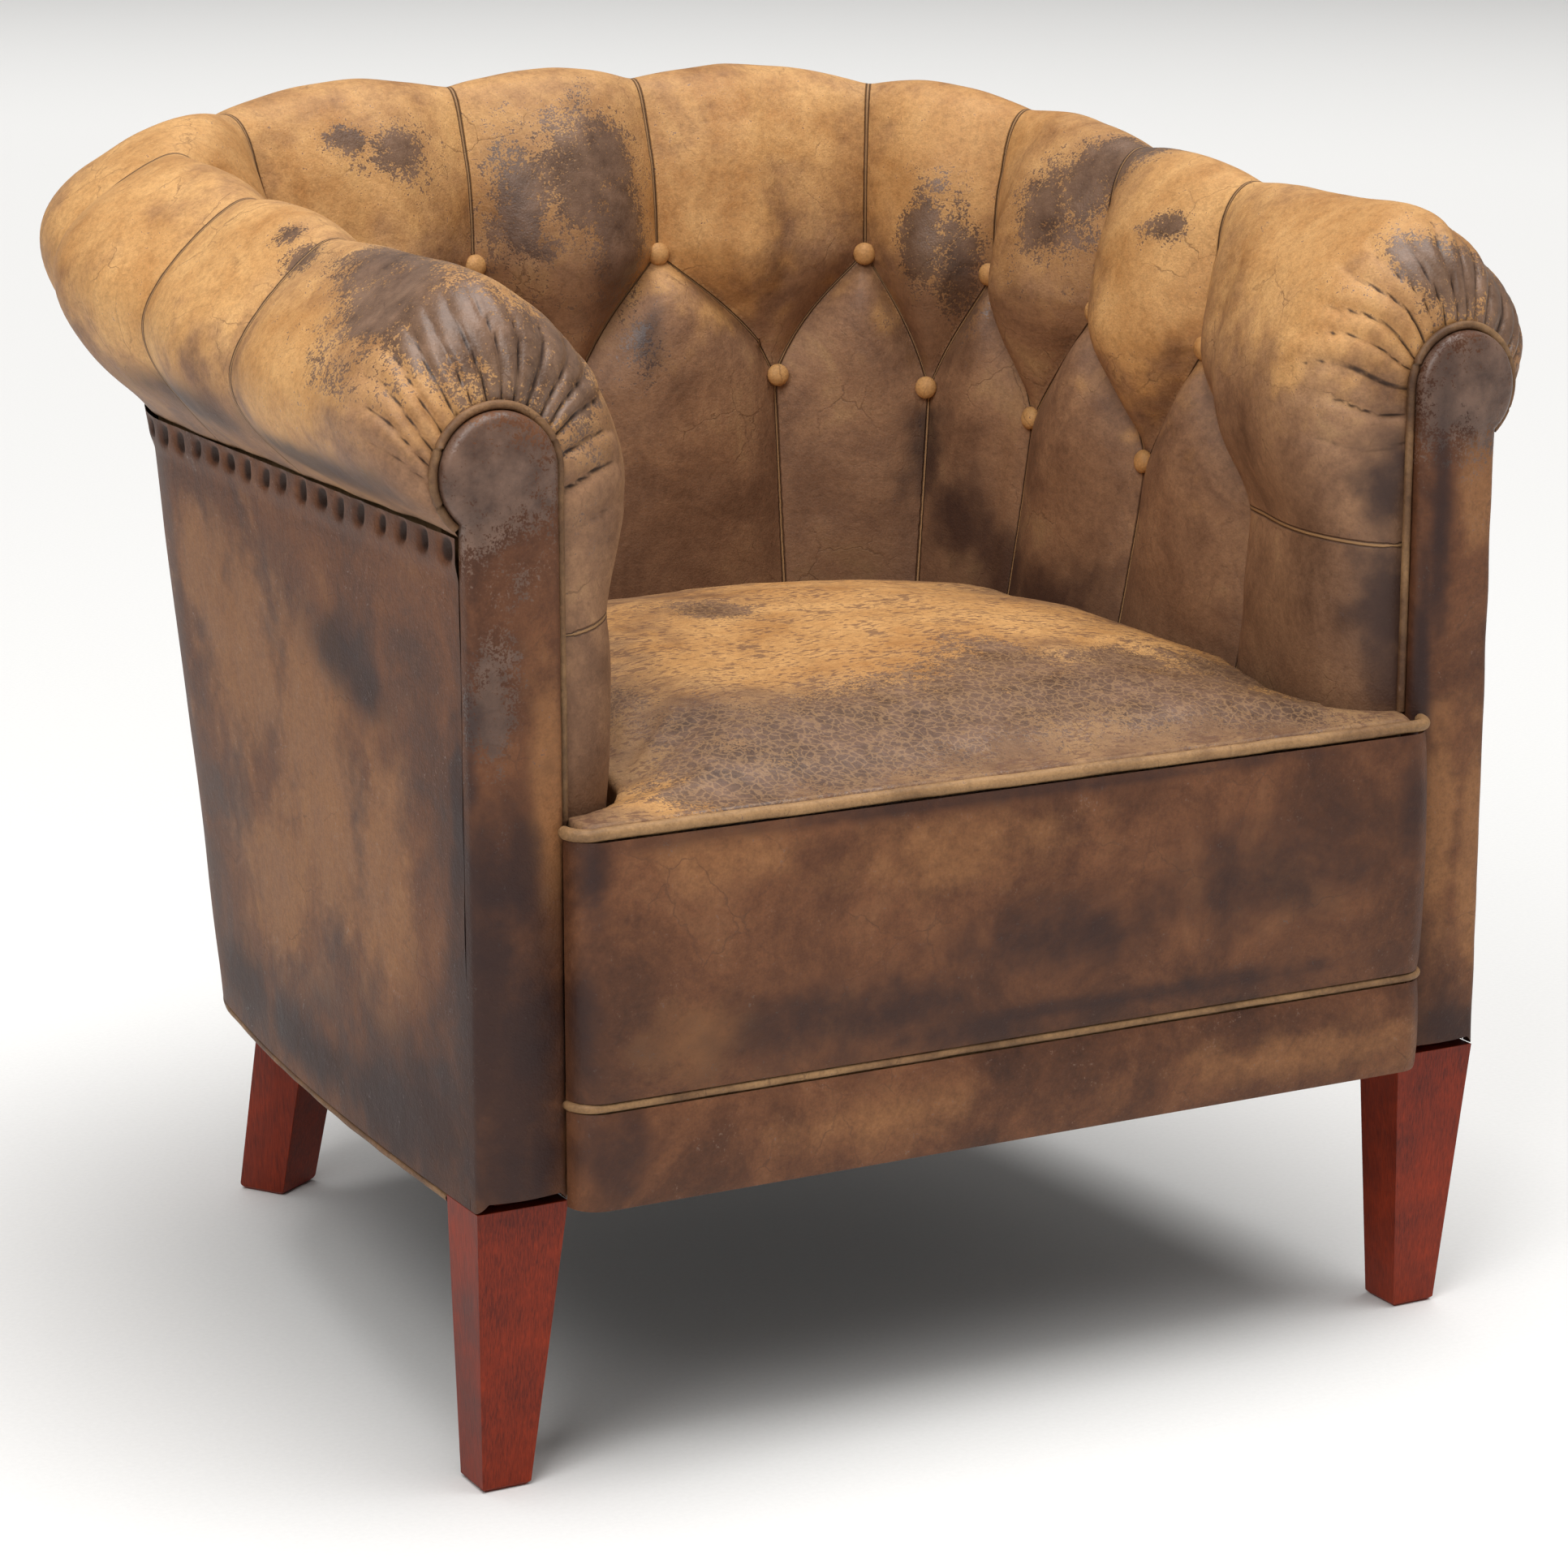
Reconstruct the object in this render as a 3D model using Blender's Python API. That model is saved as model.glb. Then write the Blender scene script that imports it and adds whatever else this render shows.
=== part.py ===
"""Worn leather club chair with a buttoned tub back, rolled arms and square tapered legs.

Metres, +Z up, the front faces -Y, and the origin is on the floor in the middle of the
footprint. The upholstery is a section swept round a U-shaped plan line. The plan line is
the row of tacks under the roll. A place on the upholstery is given by its distance along
that line from the left front end, by its inset from the line towards the seat, and by its
height.
"""
import math

import bmesh
import bpy
from mathutils import Vector

# Body, seen from above
BODY_WIDTH = 0.694          # over the outer faces of the two front posts
SIDE_LENGTH = 0.658         # from the front of the posts to the tack line behind the back
CORNER_RADIUS = 0.200       # of the tack line at the two rear corners
BASE_TAPER = 0.044          # how far the body narrows from the tack line to its base, at the rear
BASE_TAPER_RUN = 0.55       # length of the plan line over which that taper grows from nothing
BASE_TAPER_POWER = 2.5      # keeps the taper small until the rear corners

# Heights above the floor
BODY_BASE = 0.178
SEAT_FRONT = 0.400
SEAT_REAR = 0.384           # the worn seat slopes down to the back
TACK_LINE = 0.566

# Front posts and their leather facings
POST_WIDTH = 0.057
FACING_DEPTH = 0.012
HEAD_RADIUS = 0.035
HEAD_CENTRE = 0.600         # height of the middle of the round scroll head
POST_DEPTH = 0.034
POST_PADDING = 0.007        # between the wooden post and the leather round it
HEAD_SHOULDER = (0.78, 0.62)  # where the roll meets the head's inner curve, in head radii
HEAD_SIDE_DROP = 0.006

# Legs
FRONT_FOOT = 0.031
FRONT_LEG_DEPTH = 0.042
FRONT_LEG_FACE = 0.003      # how far the top of the leg lies behind the facing
FRONT_LEG_OUTER_TAPER = 0.009
FRONT_LEG_SETBACK = 0.022   # how far the front of the foot lies behind the facing
REAR_LEG_TOP = (0.052, 0.042)
REAR_FOOT = (0.040, 0.036)
REAR_LEG_PLACE = 0.655      # along the plan line
REAR_LEG_INSET = 0.0310     # from the edge of the body's base to the middle of the leg's top
REAR_LEG_RAKE = 0.035       # how far the foot stands behind the leg's top
FOOT_CHAMFER = 0.0025
STUB_MARGIN = 0.003         # leg's stub inside the sides of its post
STUB_SETBACK = 0.006        # and inside its front and back

# Section of the arm, and of the back where it differs, measured in a pleat
RISE_START = 0.12           # where the arm's section starts to change, along the plan line
RISE_RUN = 0.73             # length over which it turns into the back's
ROLL_OVERHANG = 0.034
ROLL_OVERHANG_BACK = 0.060
ROLL_WIDEST = 0.624
ROLL_WIDEST_BACK = 0.688
CREST_INSET = 0.020
ROLL_CREST = 0.695
ROLL_CREST_BACK = 0.750
SHOULDER_INSET = 0.047
SHOULDER = 0.655
SHOULDER_BACK = 0.700
BUTTON_INSET = 0.045
FRONT_BUTTON_RUN = 0.10     # length over which the wall thins from the post to the buttons
LOWER_BUTTON_INSET_BACK = 0.055
UPPER_BUTTON = 0.595
UPPER_BUTTON_BACK = 0.631
LOWER_BUTTON = 0.504
LOWER_BUTTON_BACK = 0.541
SEAT_INSET = 0.086
COVER_BOTTOM = 0.356

# How far the leather swells between the pleats
PUFF_OUTSIDE = 0.019
PUFF_CREST = 0.011
PUFF_SHOULDER = 0.034
PUFF_UPPER = 0.054
PUFF_LOWER = 0.042
PUFF_SEAT = 0.008
FRONT_PANEL_FULLNESS = 1.25
LEFT_ARM_FULLNESS = 0.016   # the left arm has kept more stuffing inside than the right
BUTTON_FULLNESS = 0.6       # share of that fullness at the lower buttons
LEVEL_PLEAT_SWELL = 0.80    # share of the swelling left in the front panel's level pleat
LEVEL_PLEAT_WIDTH = 0.6     # half the width of that pleat, in stations
FRONT_TUCK = 0.030          # length from the front lower button to the full front panel
END_DOME = 0.062            # length of the rounded front end of each arm roll
PUFF_POWER = 0.80
COVER_THICKNESS = 0.008
EDGE_LIFT = 0.5             # rise of a deeper layer's edge for each unit of extra depth

# Widths of the panels between pleats, along the plan line, from the middle of the back
CENTRE_PANEL = 0.140
BACK_PANEL = 0.192
CORNER_PANEL = 0.140
REAR_SIDE_PANEL = 0.148
SIDE_PANEL = 0.134
FIRST_BUTTON_LEAD = 0.074   # front lower button, ahead of the front upper button

# Seat
SEAT_OVERHANG = 0.021       # front of the seat ahead of the posts
SEAT_END_OVERLAP = 0.003    # seat front over the inner edge of each post
SEAT_CROWN = 0.040
SEAT_PAD_DEPTH = 0.026
SEAT_SIDE_POWER = 2.4       # how flat the crown is from side to side
SEAT_LENGTH_POWER = 2.2     # and from front to back
SEAT_LIP = 0.0005           # of the pad's underside over the border
SEAT_LAP = 0.0020           # of the pad's edge over the border
BORDER_CORNER = 0.018
BORDER_DEPTH = 0.019
BORDER_BULGE = 0.004
APRON_BULGE = 0.002
BORDER_BOTTOM = 0.240
APRON_BOTTOM = 0.176
WELT_RADIUS = 0.0038
PIPING_RADIUS = 0.0028
STUFFING_DEPTH = 0.022
STUFFING_MARGIN = 0.012     # inside the edge of the seat pad
HESSIAN_DEPTH = 0.002
HESSIAN_MARGIN = 0.014

# Frame inside the upholstery
OUTER_SKIN = 0.005
RAIL_THICKNESS = 0.028
SEAT_RAIL_HEIGHT = 0.060
TOP_RAIL_HEIGHT = 0.036
RAIL_JOINT_LEAD = 0.020     # joint of side and back rails, ahead of the rear corner
UPRIGHT_WIDTH = 0.040
WEB_THICKNESS = 0.003
WEB_COUNT = 6
WEB_WIDTH = 0.050
SPRING_RADIUS = 0.036
SPRING_WAIST = 0.024
SPRING_TURNS = 4
SPRING_FACETS = 5
SPRING_WIRE = 0.0022
SPRING_FLARE = 1.5
FRONT_SPRINGS = 0.115       # front row, behind the front of the posts
SPRING_ROW_PITCH = 0.140
SPRING_INSET = 0.138        # middle of an outer spring, from the edge of the seat's front
REAR_SPRING_INSET = 0.208   # the same for the rear pair
DUST_COVER = 0.0015

BUTTON_RADIUS = 0.0078
BUTTON_HEIGHT = 0.0055
BUTTON_STEM = 0.0165
STEM_TIP = (0.09, 0.06)     # start and radius of the stem, as shares of its length and width

CLEARANCE = 0.0003          # between pieces that touch
CURVE_CLEARANCE = 0.0020    # between curved pieces whose facets differ
STUFFING_CLEARANCE = 0.0025  # between the cover and the stuffing under it

# Fineness of the curves
WALL_STEPS = 48             # round the whole plan line
SHORTEST_FACET = 0.004
CORNER_STEPS = 4
SEAT_CORNER_STEPS = 3
PANEL_STEPS = 4
PIPING_SIDES = 6
WELT_SIDES = 8
ARCH_STEPS = 14
PIPED_ARCH_STEPS = 18
BUTTON_SIDES = 8
COLUMNS_PER_HALF_PANEL = 3
DOME_COLUMNS = (0.0, 0.04, 0.15, 0.33, 0.6, 1.0)
NORMAL_STEP = 0.02          # stations on each side of a point that give its direction

# Rings of the seat pad, drawn in by these shares towards the middle part of the seat
UNDER_RINGS = (0.96, 0.5, 0.14)
TOP_RINGS = (0.0, 0.03, 0.14, 0.32, 0.6, 0.96)
MIDDLE_HALF_WIDTH = 0.4     # share of the seat's half width
MIDDLE_FRONT = 0.7          # share of the distance from the centre to the seat's front
MIDDLE_REAR = 0.1           # share of the distance from the centre to the back
FRONT_GATHER = 0.4          # share by which the rings have left the front corners

# Worked out from the sizes above
HALF_WIDTH = BODY_WIDTH / 2
FRONT = -SIDE_LENGTH / 2
REAR = SIDE_LENGTH / 2
POST_INNER = HALF_WIDTH - POST_WIDTH
FACING_BACK = FRONT + FACING_DEPTH + CLEARANCE
STRAIGHT_SIDE = SIDE_LENGTH - CORNER_RADIUS
QUARTER_TURN = CORNER_RADIUS * math.pi / 2
STRAIGHT_BACK = BODY_WIDTH - 2 * CORNER_RADIUS
PLAN_LENGTH = 2 * STRAIGHT_SIDE + 2 * QUARTER_TURN + STRAIGHT_BACK
COVER_START = FACING_DEPTH + 2 * CLEARANCE
POST_BACK = FACING_DEPTH + 2 * CLEARANCE + POST_DEPTH
SEAT_FACE = FRONT - SEAT_OVERHANG
SEAT_HALF = POST_INNER + SEAT_END_OVERLAP
RAIL_OUT = OUTER_SKIN + CLEARANCE
RAIL_IN = RAIL_OUT + RAIL_THICKNESS
SEAT_RAIL_LOW = BODY_BASE + DUST_COVER + 2 * CLEARANCE
SEAT_RAIL_TOP = SEAT_RAIL_LOW + SEAT_RAIL_HEIGHT
TOP_RAIL_LOW = TACK_LINE - 2 * CLEARANCE - TOP_RAIL_HEIGHT


def material(name, colour, roughness, metallic=0.0):
    """A plain surface with the colour of the real one, in linear values."""
    made = bpy.data.materials.new(name)
    made.use_nodes = True
    shader = made.node_tree.nodes["Principled BSDF"]
    shader.inputs["Base Color"].default_value = (*colour, 1.0)
    shader.inputs["Roughness"].default_value = roughness
    shader.inputs["Metallic"].default_value = metallic
    return made


def make_materials():
    return {
        "leather": material("worn_tan_leather", (0.36, 0.17, 0.07), 0.45),
        "leather_plain": material("worn_brown_leather", (0.25, 0.13, 0.065), 0.5),
        "piping": material("piping_leather", (0.42, 0.22, 0.10), 0.5),
        "leg": material("stained_beech", (0.23, 0.045, 0.018), 0.35),
        "frame": material("raw_beech", (0.52, 0.36, 0.20), 0.7),
        "stuffing": material("coconut_fibre", (0.33, 0.22, 0.12), 0.95),
        "webbing": material("jute_webbing", (0.45, 0.34, 0.20), 0.9),
        "spring": material("spring_steel", (0.30, 0.28, 0.26), 0.4, 1.0),
        "cloth": material("black_lining_cloth", (0.03, 0.03, 0.03), 0.9),
    }


def smoothstep(value):
    value = min(max(value, 0.0), 1.0)
    return value * value * (3 - 2 * value)


def mix(first, second, share):
    return first + (second - first) * share


def plan_point(place, inset=0.0):
    """Point in plan and outward direction at a distance along the plan line."""
    mirrored = place > PLAN_LENGTH / 2
    run = PLAN_LENGTH - place if mirrored else place
    if run <= STRAIGHT_SIDE:
        x, y, out_x, out_y = -HALF_WIDTH, FRONT + run, -1.0, 0.0
    elif run <= STRAIGHT_SIDE + QUARTER_TURN:
        turn = (run - STRAIGHT_SIDE) / CORNER_RADIUS
        out_x, out_y = -math.cos(turn), math.sin(turn)
        x = -HALF_WIDTH + CORNER_RADIUS + CORNER_RADIUS * out_x
        y = REAR - CORNER_RADIUS + CORNER_RADIUS * out_y
    else:
        x = -HALF_WIDTH + CORNER_RADIUS + run - STRAIGHT_SIDE - QUARTER_TURN
        y, out_x, out_y = REAR, 0.0, 1.0
    side = -1.0 if mirrored else 1.0
    return Vector((side * (x - out_x * inset), y - out_y * inset)), Vector((side * out_x, out_y))


def place_on_wall(place, inset, height):
    """World position of a point of the upholstery."""
    point, _ = plan_point(place, inset)
    return Vector((point.x, point.y, height))


def from_front(place):
    """Distance along the plan line from the nearer front end."""
    return min(place, PLAN_LENGTH - place)


def rise(place):
    """How far the section has changed from the arm's to the back's, from 0 to 1."""
    return smoothstep((from_front(place) - RISE_START) / RISE_RUN)


def taper_inset(place, height):
    """Inset of the body's outer face, which narrows towards its base at the rear."""
    share = min(from_front(place) / BASE_TAPER_RUN, 1.0) ** BASE_TAPER_POWER
    drop = (TACK_LINE - height) / (TACK_LINE - BODY_BASE)
    return BASE_TAPER * share * max(drop, 0.0)


def pleat_section(place):
    """Inset and height of the seven stations of the section, measured in a pleat."""
    back = rise(place)
    deepen = smoothstep((from_front(place) - END_DOME) / FRONT_BUTTON_RUN)
    upper = mix(POST_WIDTH + PIPING_RADIUS, BUTTON_INSET, deepen)
    lower = mix(upper, LOWER_BUTTON_INSET_BACK, back)
    full = LEFT_ARM_FULLNESS * (1 - back) if place < PLAN_LENGTH / 2 else 0.0
    return [
        (0.0, TACK_LINE),
        (-mix(ROLL_OVERHANG, ROLL_OVERHANG_BACK, back), mix(ROLL_WIDEST, ROLL_WIDEST_BACK, back)),
        (CREST_INSET, mix(ROLL_CREST, ROLL_CREST_BACK, back)),
        (SHOULDER_INSET, mix(SHOULDER, SHOULDER_BACK, back)),
        (upper, mix(UPPER_BUTTON, UPPER_BUTTON_BACK, back)),
        (lower + full * BUTTON_FULLNESS, mix(LOWER_BUTTON, LOWER_BUTTON_BACK, back)),
        (SEAT_INSET + full, COVER_BOTTOM),
    ]


def end_section(_place):
    """The same seven stations where the roll closes on the scroll head of the post."""
    head = HEAD_RADIUS + PIPING_RADIUS
    inset = HALF_WIDTH - POST_INNER - HEAD_RADIUS
    return [
        (0.0, TACK_LINE),
        (inset - head, HEAD_CENTRE),
        (inset, HEAD_CENTRE + head),
        (inset + head * HEAD_SHOULDER[0], HEAD_CENTRE + head * HEAD_SHOULDER[1]),
        (inset + head, HEAD_CENTRE - HEAD_SIDE_DROP),
        (POST_WIDTH + PIPING_RADIUS, LOWER_BUTTON),
        (POST_WIDTH + PIPING_RADIUS, COVER_BOTTOM),
    ]


def dome(place):
    """Fullness of the rounded front end: 0 at the scroll head, 1 behind the dome."""
    run = min(max((from_front(place) - COVER_START) / END_DOME, 0.0), 1.0)
    return math.sqrt(1 - (1 - run) ** 2)


def stations(place):
    full = dome(place)
    return [(mix(a[0], b[0], full), mix(a[1], b[1], full))
            for a, b in zip(end_section(place), pleat_section(place))]


STATION_PUFF = [0.0, PUFF_OUTSIDE, PUFF_CREST, PUFF_SHOULDER, PUFF_UPPER, PUFF_LOWER, PUFF_SEAT]
ROWS_PER_STATION = [3, 3, 2, 2, 3, 3]
INNER_ROWS = [0.0, 0.5, 1.0, 1.5, 2.0, 2.5, 3.0, 4.0, 5.0, 6.0]
SHOULDER_STATION = 2
UPPER_STATION = 4
LOWER_STATION = 5


def smooth_curve(values, position):
    """Catmull-Rom interpolation of a list at a position counted in stations."""
    index = min(int(position), len(values) - 2)
    part = position - index
    before = values[max(index - 1, 0)]
    first = values[index]
    second = values[index + 1]
    after = values[min(index + 2, len(values) - 1)]
    return 0.5 * (2 * first + (second - before) * part
                  + (2 * before - 5 * first + 4 * second - after) * part ** 2
                  + (3 * first - before - 3 * second + after) * part ** 3)


def section_point(place, position):
    """Inset and height of the section in a pleat, at a position counted in stations."""
    found = stations(place)
    return (smooth_curve([point[0] for point in found], position),
            smooth_curve([point[1] for point in found], position))


def section_normal(place, position):
    """Direction that points out of the section, as inset and height."""
    ahead = section_point(place, min(position + NORMAL_STEP, LOWER_STATION + 1))
    behind = section_point(place, max(position - NORMAL_STEP, 0.0))
    run = Vector((ahead[0] - behind[0], ahead[1] - behind[1])).normalized()
    return Vector((-run.y, run.x))


def pleat_places():
    """Distances along the plan line of the ten pleats and upper buttons."""
    middle = PLAN_LENGTH / 2
    right = [middle + CENTRE_PANEL / 2]
    for width in (BACK_PANEL, CORNER_PANEL, REAR_SIDE_PANEL, SIDE_PANEL):
        right.append(right[-1] + width)
    return [PLAN_LENGTH - place for place in reversed(right)] + right


def lower_places(pleats):
    """Distances along the plan line of the eleven lower buttons."""
    between = [(a + b) / 2 for a, b in zip(pleats, pleats[1:])]
    return [pleats[0] - FIRST_BUTTON_LEAD] + between + [pleats[-1] + FIRST_BUTTON_LEAD]


def swell(depth):
    """Height of a stuffed panel, from its edge at 0 to its middle at 1."""
    return math.sin(min(max(depth, 0.0), 1.0) * math.pi / 2) ** PUFF_POWER


def panel_swell(place, position, pleats, lowers):
    """Share of the full swelling at a place: 0 in a pleat, 1 in the middle of a panel."""
    knots = sorted(pleats + lowers)
    run = from_front(place)
    first_lower = from_front(lowers[0])
    fade = min(max(position - UPPER_STATION, 0.0), 1.0)
    above = position <= UPPER_STATION
    below = position >= LOWER_STATION
    if run <= first_lower + 1e-9:
        return front_panel_swell(first_lower - run, position)
    right = next(index for index, knot in enumerate(knots) if knot >= place - 1e-9)
    left = max(right - 1, 0)
    share = (place - knots[left]) / (knots[right] - knots[left])
    pleat_on_left = knots[left] in pleats
    from_pleat = share if pleat_on_left else 1 - share
    if above:
        return swell(from_pleat)
    if below:
        return swell(1 - from_pleat)
    if from_pleat >= fade:
        reach = 1 - fade
        return swell((from_pleat - fade) / max(reach, 1e-6)) * math.sqrt(reach)
    return swell((fade - from_pleat) / fade) * math.sqrt(fade)


def front_panel_swell(lead, position):
    """The front panel, at a distance ahead of its button, with a level pleat from there."""
    beside_button = swell(lead / FRONT_TUCK)
    leaving_pleat = swell(abs(position - LOWER_STATION) / LEVEL_PLEAT_WIDTH)
    level_pleat = mix(LEVEL_PLEAT_SWELL, 1.0, leaving_pleat)
    if position < LOWER_STATION:
        beside_button = mix(beside_button, 1.0, leaving_pleat)
    inside = smoothstep(position - SHOULDER_STATION)
    return beside_button * level_pleat * mix(1.0, FRONT_PANEL_FULLNESS, inside)


def crowding(place, inset):
    """Panels are narrower on the inside of a corner, and swell less there."""
    run = from_front(place)
    if STRAIGHT_SIDE < run < STRAIGHT_SIDE + QUARTER_TURN:
        return 1 - inset / CORNER_RADIUS
    return 1.0


def cover_point(place, position, pleats, lowers):
    """A point on the leather of the buttoned cover."""
    inset, height = section_point(place, position)
    normal = section_normal(place, position)
    puff = smooth_curve(STATION_PUFF, position) * dome(place) * crowding(place, inset)
    puff = puff * panel_swell(place, position, pleats, lowers)
    return place_on_wall(place, inset + normal.x * puff, height + normal.y * puff)


def inner_point(place, position, depth):
    """A point under the cover, at a depth below the bottom of the pleats."""
    inset, height = section_point(place, position)
    if position == 0:
        return place_on_wall(place, inset + depth, height + (depth - COVER_THICKNESS) * EDGE_LIFT)
    normal = section_normal(place, position)
    return place_on_wall(place, inset - normal.x * depth, height - normal.y * depth)


def cover_columns():
    """Places along the plan line where the cover's section is taken."""
    pleats = pleat_places()
    knots = sorted(pleats + lower_places(pleats))
    start = [COVER_START + END_DOME * share for share in DOME_COLUMNS]
    start += [mix(start[-1], knots[0], 1 / 3), mix(start[-1], knots[0], 2 / 3)]
    columns = list(start)
    for first, second in zip(knots, knots[1:]):
        columns += [mix(first, second, step / COLUMNS_PER_HALF_PANEL)
                    for step in range(COLUMNS_PER_HALF_PANEL)]
    columns.append(knots[-1])
    columns += [PLAN_LENGTH - place for place in reversed(start)]
    return columns


def cover_rows():
    """Positions of the cover's rows, counted in stations."""
    rows = []
    for station, count in enumerate(ROWS_PER_STATION):
        rows += [station + step / count for step in range(count)]
    return rows + [float(len(ROWS_PER_STATION))]


def add_object(name, mesh, surface, smooth_angle=None):
    mesh.materials.append(surface)
    if smooth_angle is not None:
        mesh.shade_smooth()
        mesh.set_sharp_from_angle(angle=math.radians(smooth_angle))
    made = bpy.data.objects.new(name, mesh)
    bpy.context.scene.collection.objects.link(made)
    return made


def mesh_from(name, points, faces):
    """A closed mesh with its faces turned outwards."""
    mesh = bpy.data.meshes.new(name)
    mesh.from_pydata([tuple(point) for point in points], [], faces)
    shape = bmesh.new()
    shape.from_mesh(mesh)
    bmesh.ops.triangulate(shape, faces=[face for face in shape.faces if len(face.verts) > 4])
    bmesh.ops.recalc_face_normals(shape, faces=shape.faces[:])
    shape.to_mesh(mesh)
    shape.free()
    return mesh


def loft(name, rings, surface, smooth_angle=None, depths=None):
    """A solid through rings of equally many points, with a cap at each end.

    Each facet is split along its shorter diagonal. Where depths gives each point's height
    over the bottom of the pleats, the lower diagonal comes first, so that a slanting pleat
    stays one clean line.
    """
    count = len(rings[0])
    points = [point for ring in rings for point in ring]
    depths = depths or [0.0] * len(points)
    faces = []
    for ring in range(len(rings) - 1):
        here = ring * count
        there = here + count
        for step in range(count):
            ahead = (step + 1) % count
            a, b, c, d = here + step, here + ahead, there + ahead, there + step
            lower = round(depths[a] + depths[c] - depths[b] - depths[d], 6)
            shorter = (points[a] - points[c]).length - (points[b] - points[d]).length
            if (lower, shorter) <= (0, 0):
                faces += [(a, b, c), (a, c, d)]
            else:
                faces += [(a, b, d), (b, c, d)]
    faces.append(tuple(range(count - 1, -1, -1)))
    faces.append(tuple(range(len(points) - count, len(points))))
    return add_object(name, mesh_from(name, points, faces), surface, smooth_angle)


def tube(name, route, radius, surface, sides=PIPING_SIDES):
    """A round cord through the points of a route, with flat ends."""
    rings = []
    for index, point in enumerate(route):
        ahead = route[min(index + 1, len(route) - 1)]
        behind = route[max(index - 1, 0)]
        along = (ahead - behind).normalized()
        across = along.cross(Vector((0, 0, 1)) if abs(along.z) < 0.9 else Vector((0, 1, 0)))
        across.normalize()
        up = across.cross(along).normalized()
        rings.append([point + (across * math.cos(turn) + up * math.sin(turn)) * radius
                      for turn in (math.tau * step / sides for step in range(sides))])
    return loft(name, rings, surface, smooth_angle=60)


def box(name, low, high, surface):
    corners = [(low[0], low[1]), (high[0], low[1]), (high[0], high[1]), (low[0], high[1])]
    rings = [[Vector((x, y, height)) for x, y in corners] for height in (low[2], high[2])]
    return loft(name, rings, surface)


def buttoned_cover(surface):
    """The inside cover: pleats, rolls and gathered ends, with its top layer of stuffing."""
    pleats = pleat_places()
    lowers = lower_places(pleats)
    rows = cover_rows()
    rings = []
    depths = []
    for place in cover_columns():
        depths += [panel_swell(place, row, pleats, lowers) for row in rows]
        depths += [0.0] * len(INNER_ROWS)
        ring = [cover_point(place, row, pleats, lowers) for row in rows]
        ring += [inner_point(place, row, COVER_THICKNESS) for row in reversed(INNER_ROWS)]
        rings.append(ring)
    return loft("inside_cover", rings, surface, smooth_angle=50, depths=depths)


def stuffing_core(surface):
    """The first stuffing under the cover, over the rails and against the uprights."""
    depth = COVER_THICKNESS + STUFFING_CLEARANCE
    inner = RAIL_IN + CURVE_CLEARANCE
    over_rail = TACK_LINE + CLEARANCE * 2
    rings = []
    for place in cover_columns():
        if from_front(place) < POST_BACK + CLEARANCE:
            continue
        ring = [inner_point(place, row, depth) for row in INNER_ROWS]
        taper = taper_inset(place, COVER_BOTTOM)
        ring.append(place_on_wall(place, inner + taper, COVER_BOTTOM))
        ring.append(place_on_wall(place, inner, over_rail))
        rings.append(ring)
    return loft("arm_and_back_stuffing", rings, surface, smooth_angle=60)


def wall_places(start, end):
    """Places between two ends, on one grid, so that the facets of all strips are parallel."""
    grid = [PLAN_LENGTH * step / WALL_STEPS for step in range(WALL_STEPS + 1)]
    inner = [place for place in grid if start + SHORTEST_FACET < place < end - SHORTEST_FACET]
    return [start] + inner + [end]


def wall_sweep(name, start, end, outer, inner, low, high, surface):
    """A strip that follows the body's tapered outer face between two places."""
    rings = []
    for place in wall_places(start, end):
        ring = []
        for height in (low, high):
            taper = taper_inset(place, height)
            ring.append(place_on_wall(place, outer + taper, height))
            ring.append(place_on_wall(place, inner + taper, height))
        rings.append([ring[0], ring[2], ring[3], ring[1]])
    return loft(name, rings, surface, smooth_angle=40)


def outside_cover(surface):
    """The plain leather round the outside, from the tacks to the base."""
    return wall_sweep("outside_cover", COVER_START, PLAN_LENGTH - COVER_START, 0.0, OUTER_SKIN,
                      BODY_BASE, TACK_LINE - 2 * CLEARANCE, surface)


def base_piping(surface):
    """The welt along the lower edge of the outside cover."""
    start = FRONT_LEG_FACE + FRONT_LEG_DEPTH + CURVE_CLEARANCE
    route = []
    for place in wall_places(start, PLAN_LENGTH - start):
        inset = taper_inset(place, BODY_BASE) + PIPING_RADIUS
        route.append(place_on_wall(place, inset, BODY_BASE - CLEARANCE - PIPING_RADIUS))
    return tube("base_piping", route, PIPING_RADIUS, surface)


def post_outline(side, margin, bottom, arc_steps=ARCH_STEPS):
    """The front view of a post, a straight board under a round head, as x and height."""
    radius = HEAD_RADIUS - margin
    middle = POST_INNER + HEAD_RADIUS
    outer = HALF_WIDTH - margin
    neck = math.acos((outer - middle) / radius)
    points = [(POST_INNER + margin, bottom), (outer, bottom)]
    for step in range(arc_steps + 1):
        turn = mix(-neck, math.pi, step / arc_steps)
        points.append((middle + radius * math.cos(turn), HEAD_CENTRE + radius * math.sin(turn)))
    return [(side * x, height) for x, height in points]


def extrude_outline(name, outline, front, back, surface):
    rings = [[Vector((x, depth, height)) for x, height in outline] for depth in (front, back)]
    return loft(name, rings, surface, smooth_angle=30)


def facing(side, label, surface):
    """The leather-covered board on the front of a post."""
    return extrude_outline("scroll_facing_" + label, post_outline(side, 0.0, BODY_BASE),
                           FRONT, FRONT + FACING_DEPTH, surface)


def facing_piping(side, label, surface):
    """The piping round the arch of a facing."""
    outline = post_outline(side, -PIPING_RADIUS - CLEARANCE, SEAT_FRONT, PIPED_ARCH_STEPS)
    middle = FRONT + FACING_DEPTH - PIPING_RADIUS
    route = [Vector((x, middle, height)) for x, height in outline[2:]]
    return tube("scroll_piping_" + label, route, PIPING_RADIUS, surface)


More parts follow.
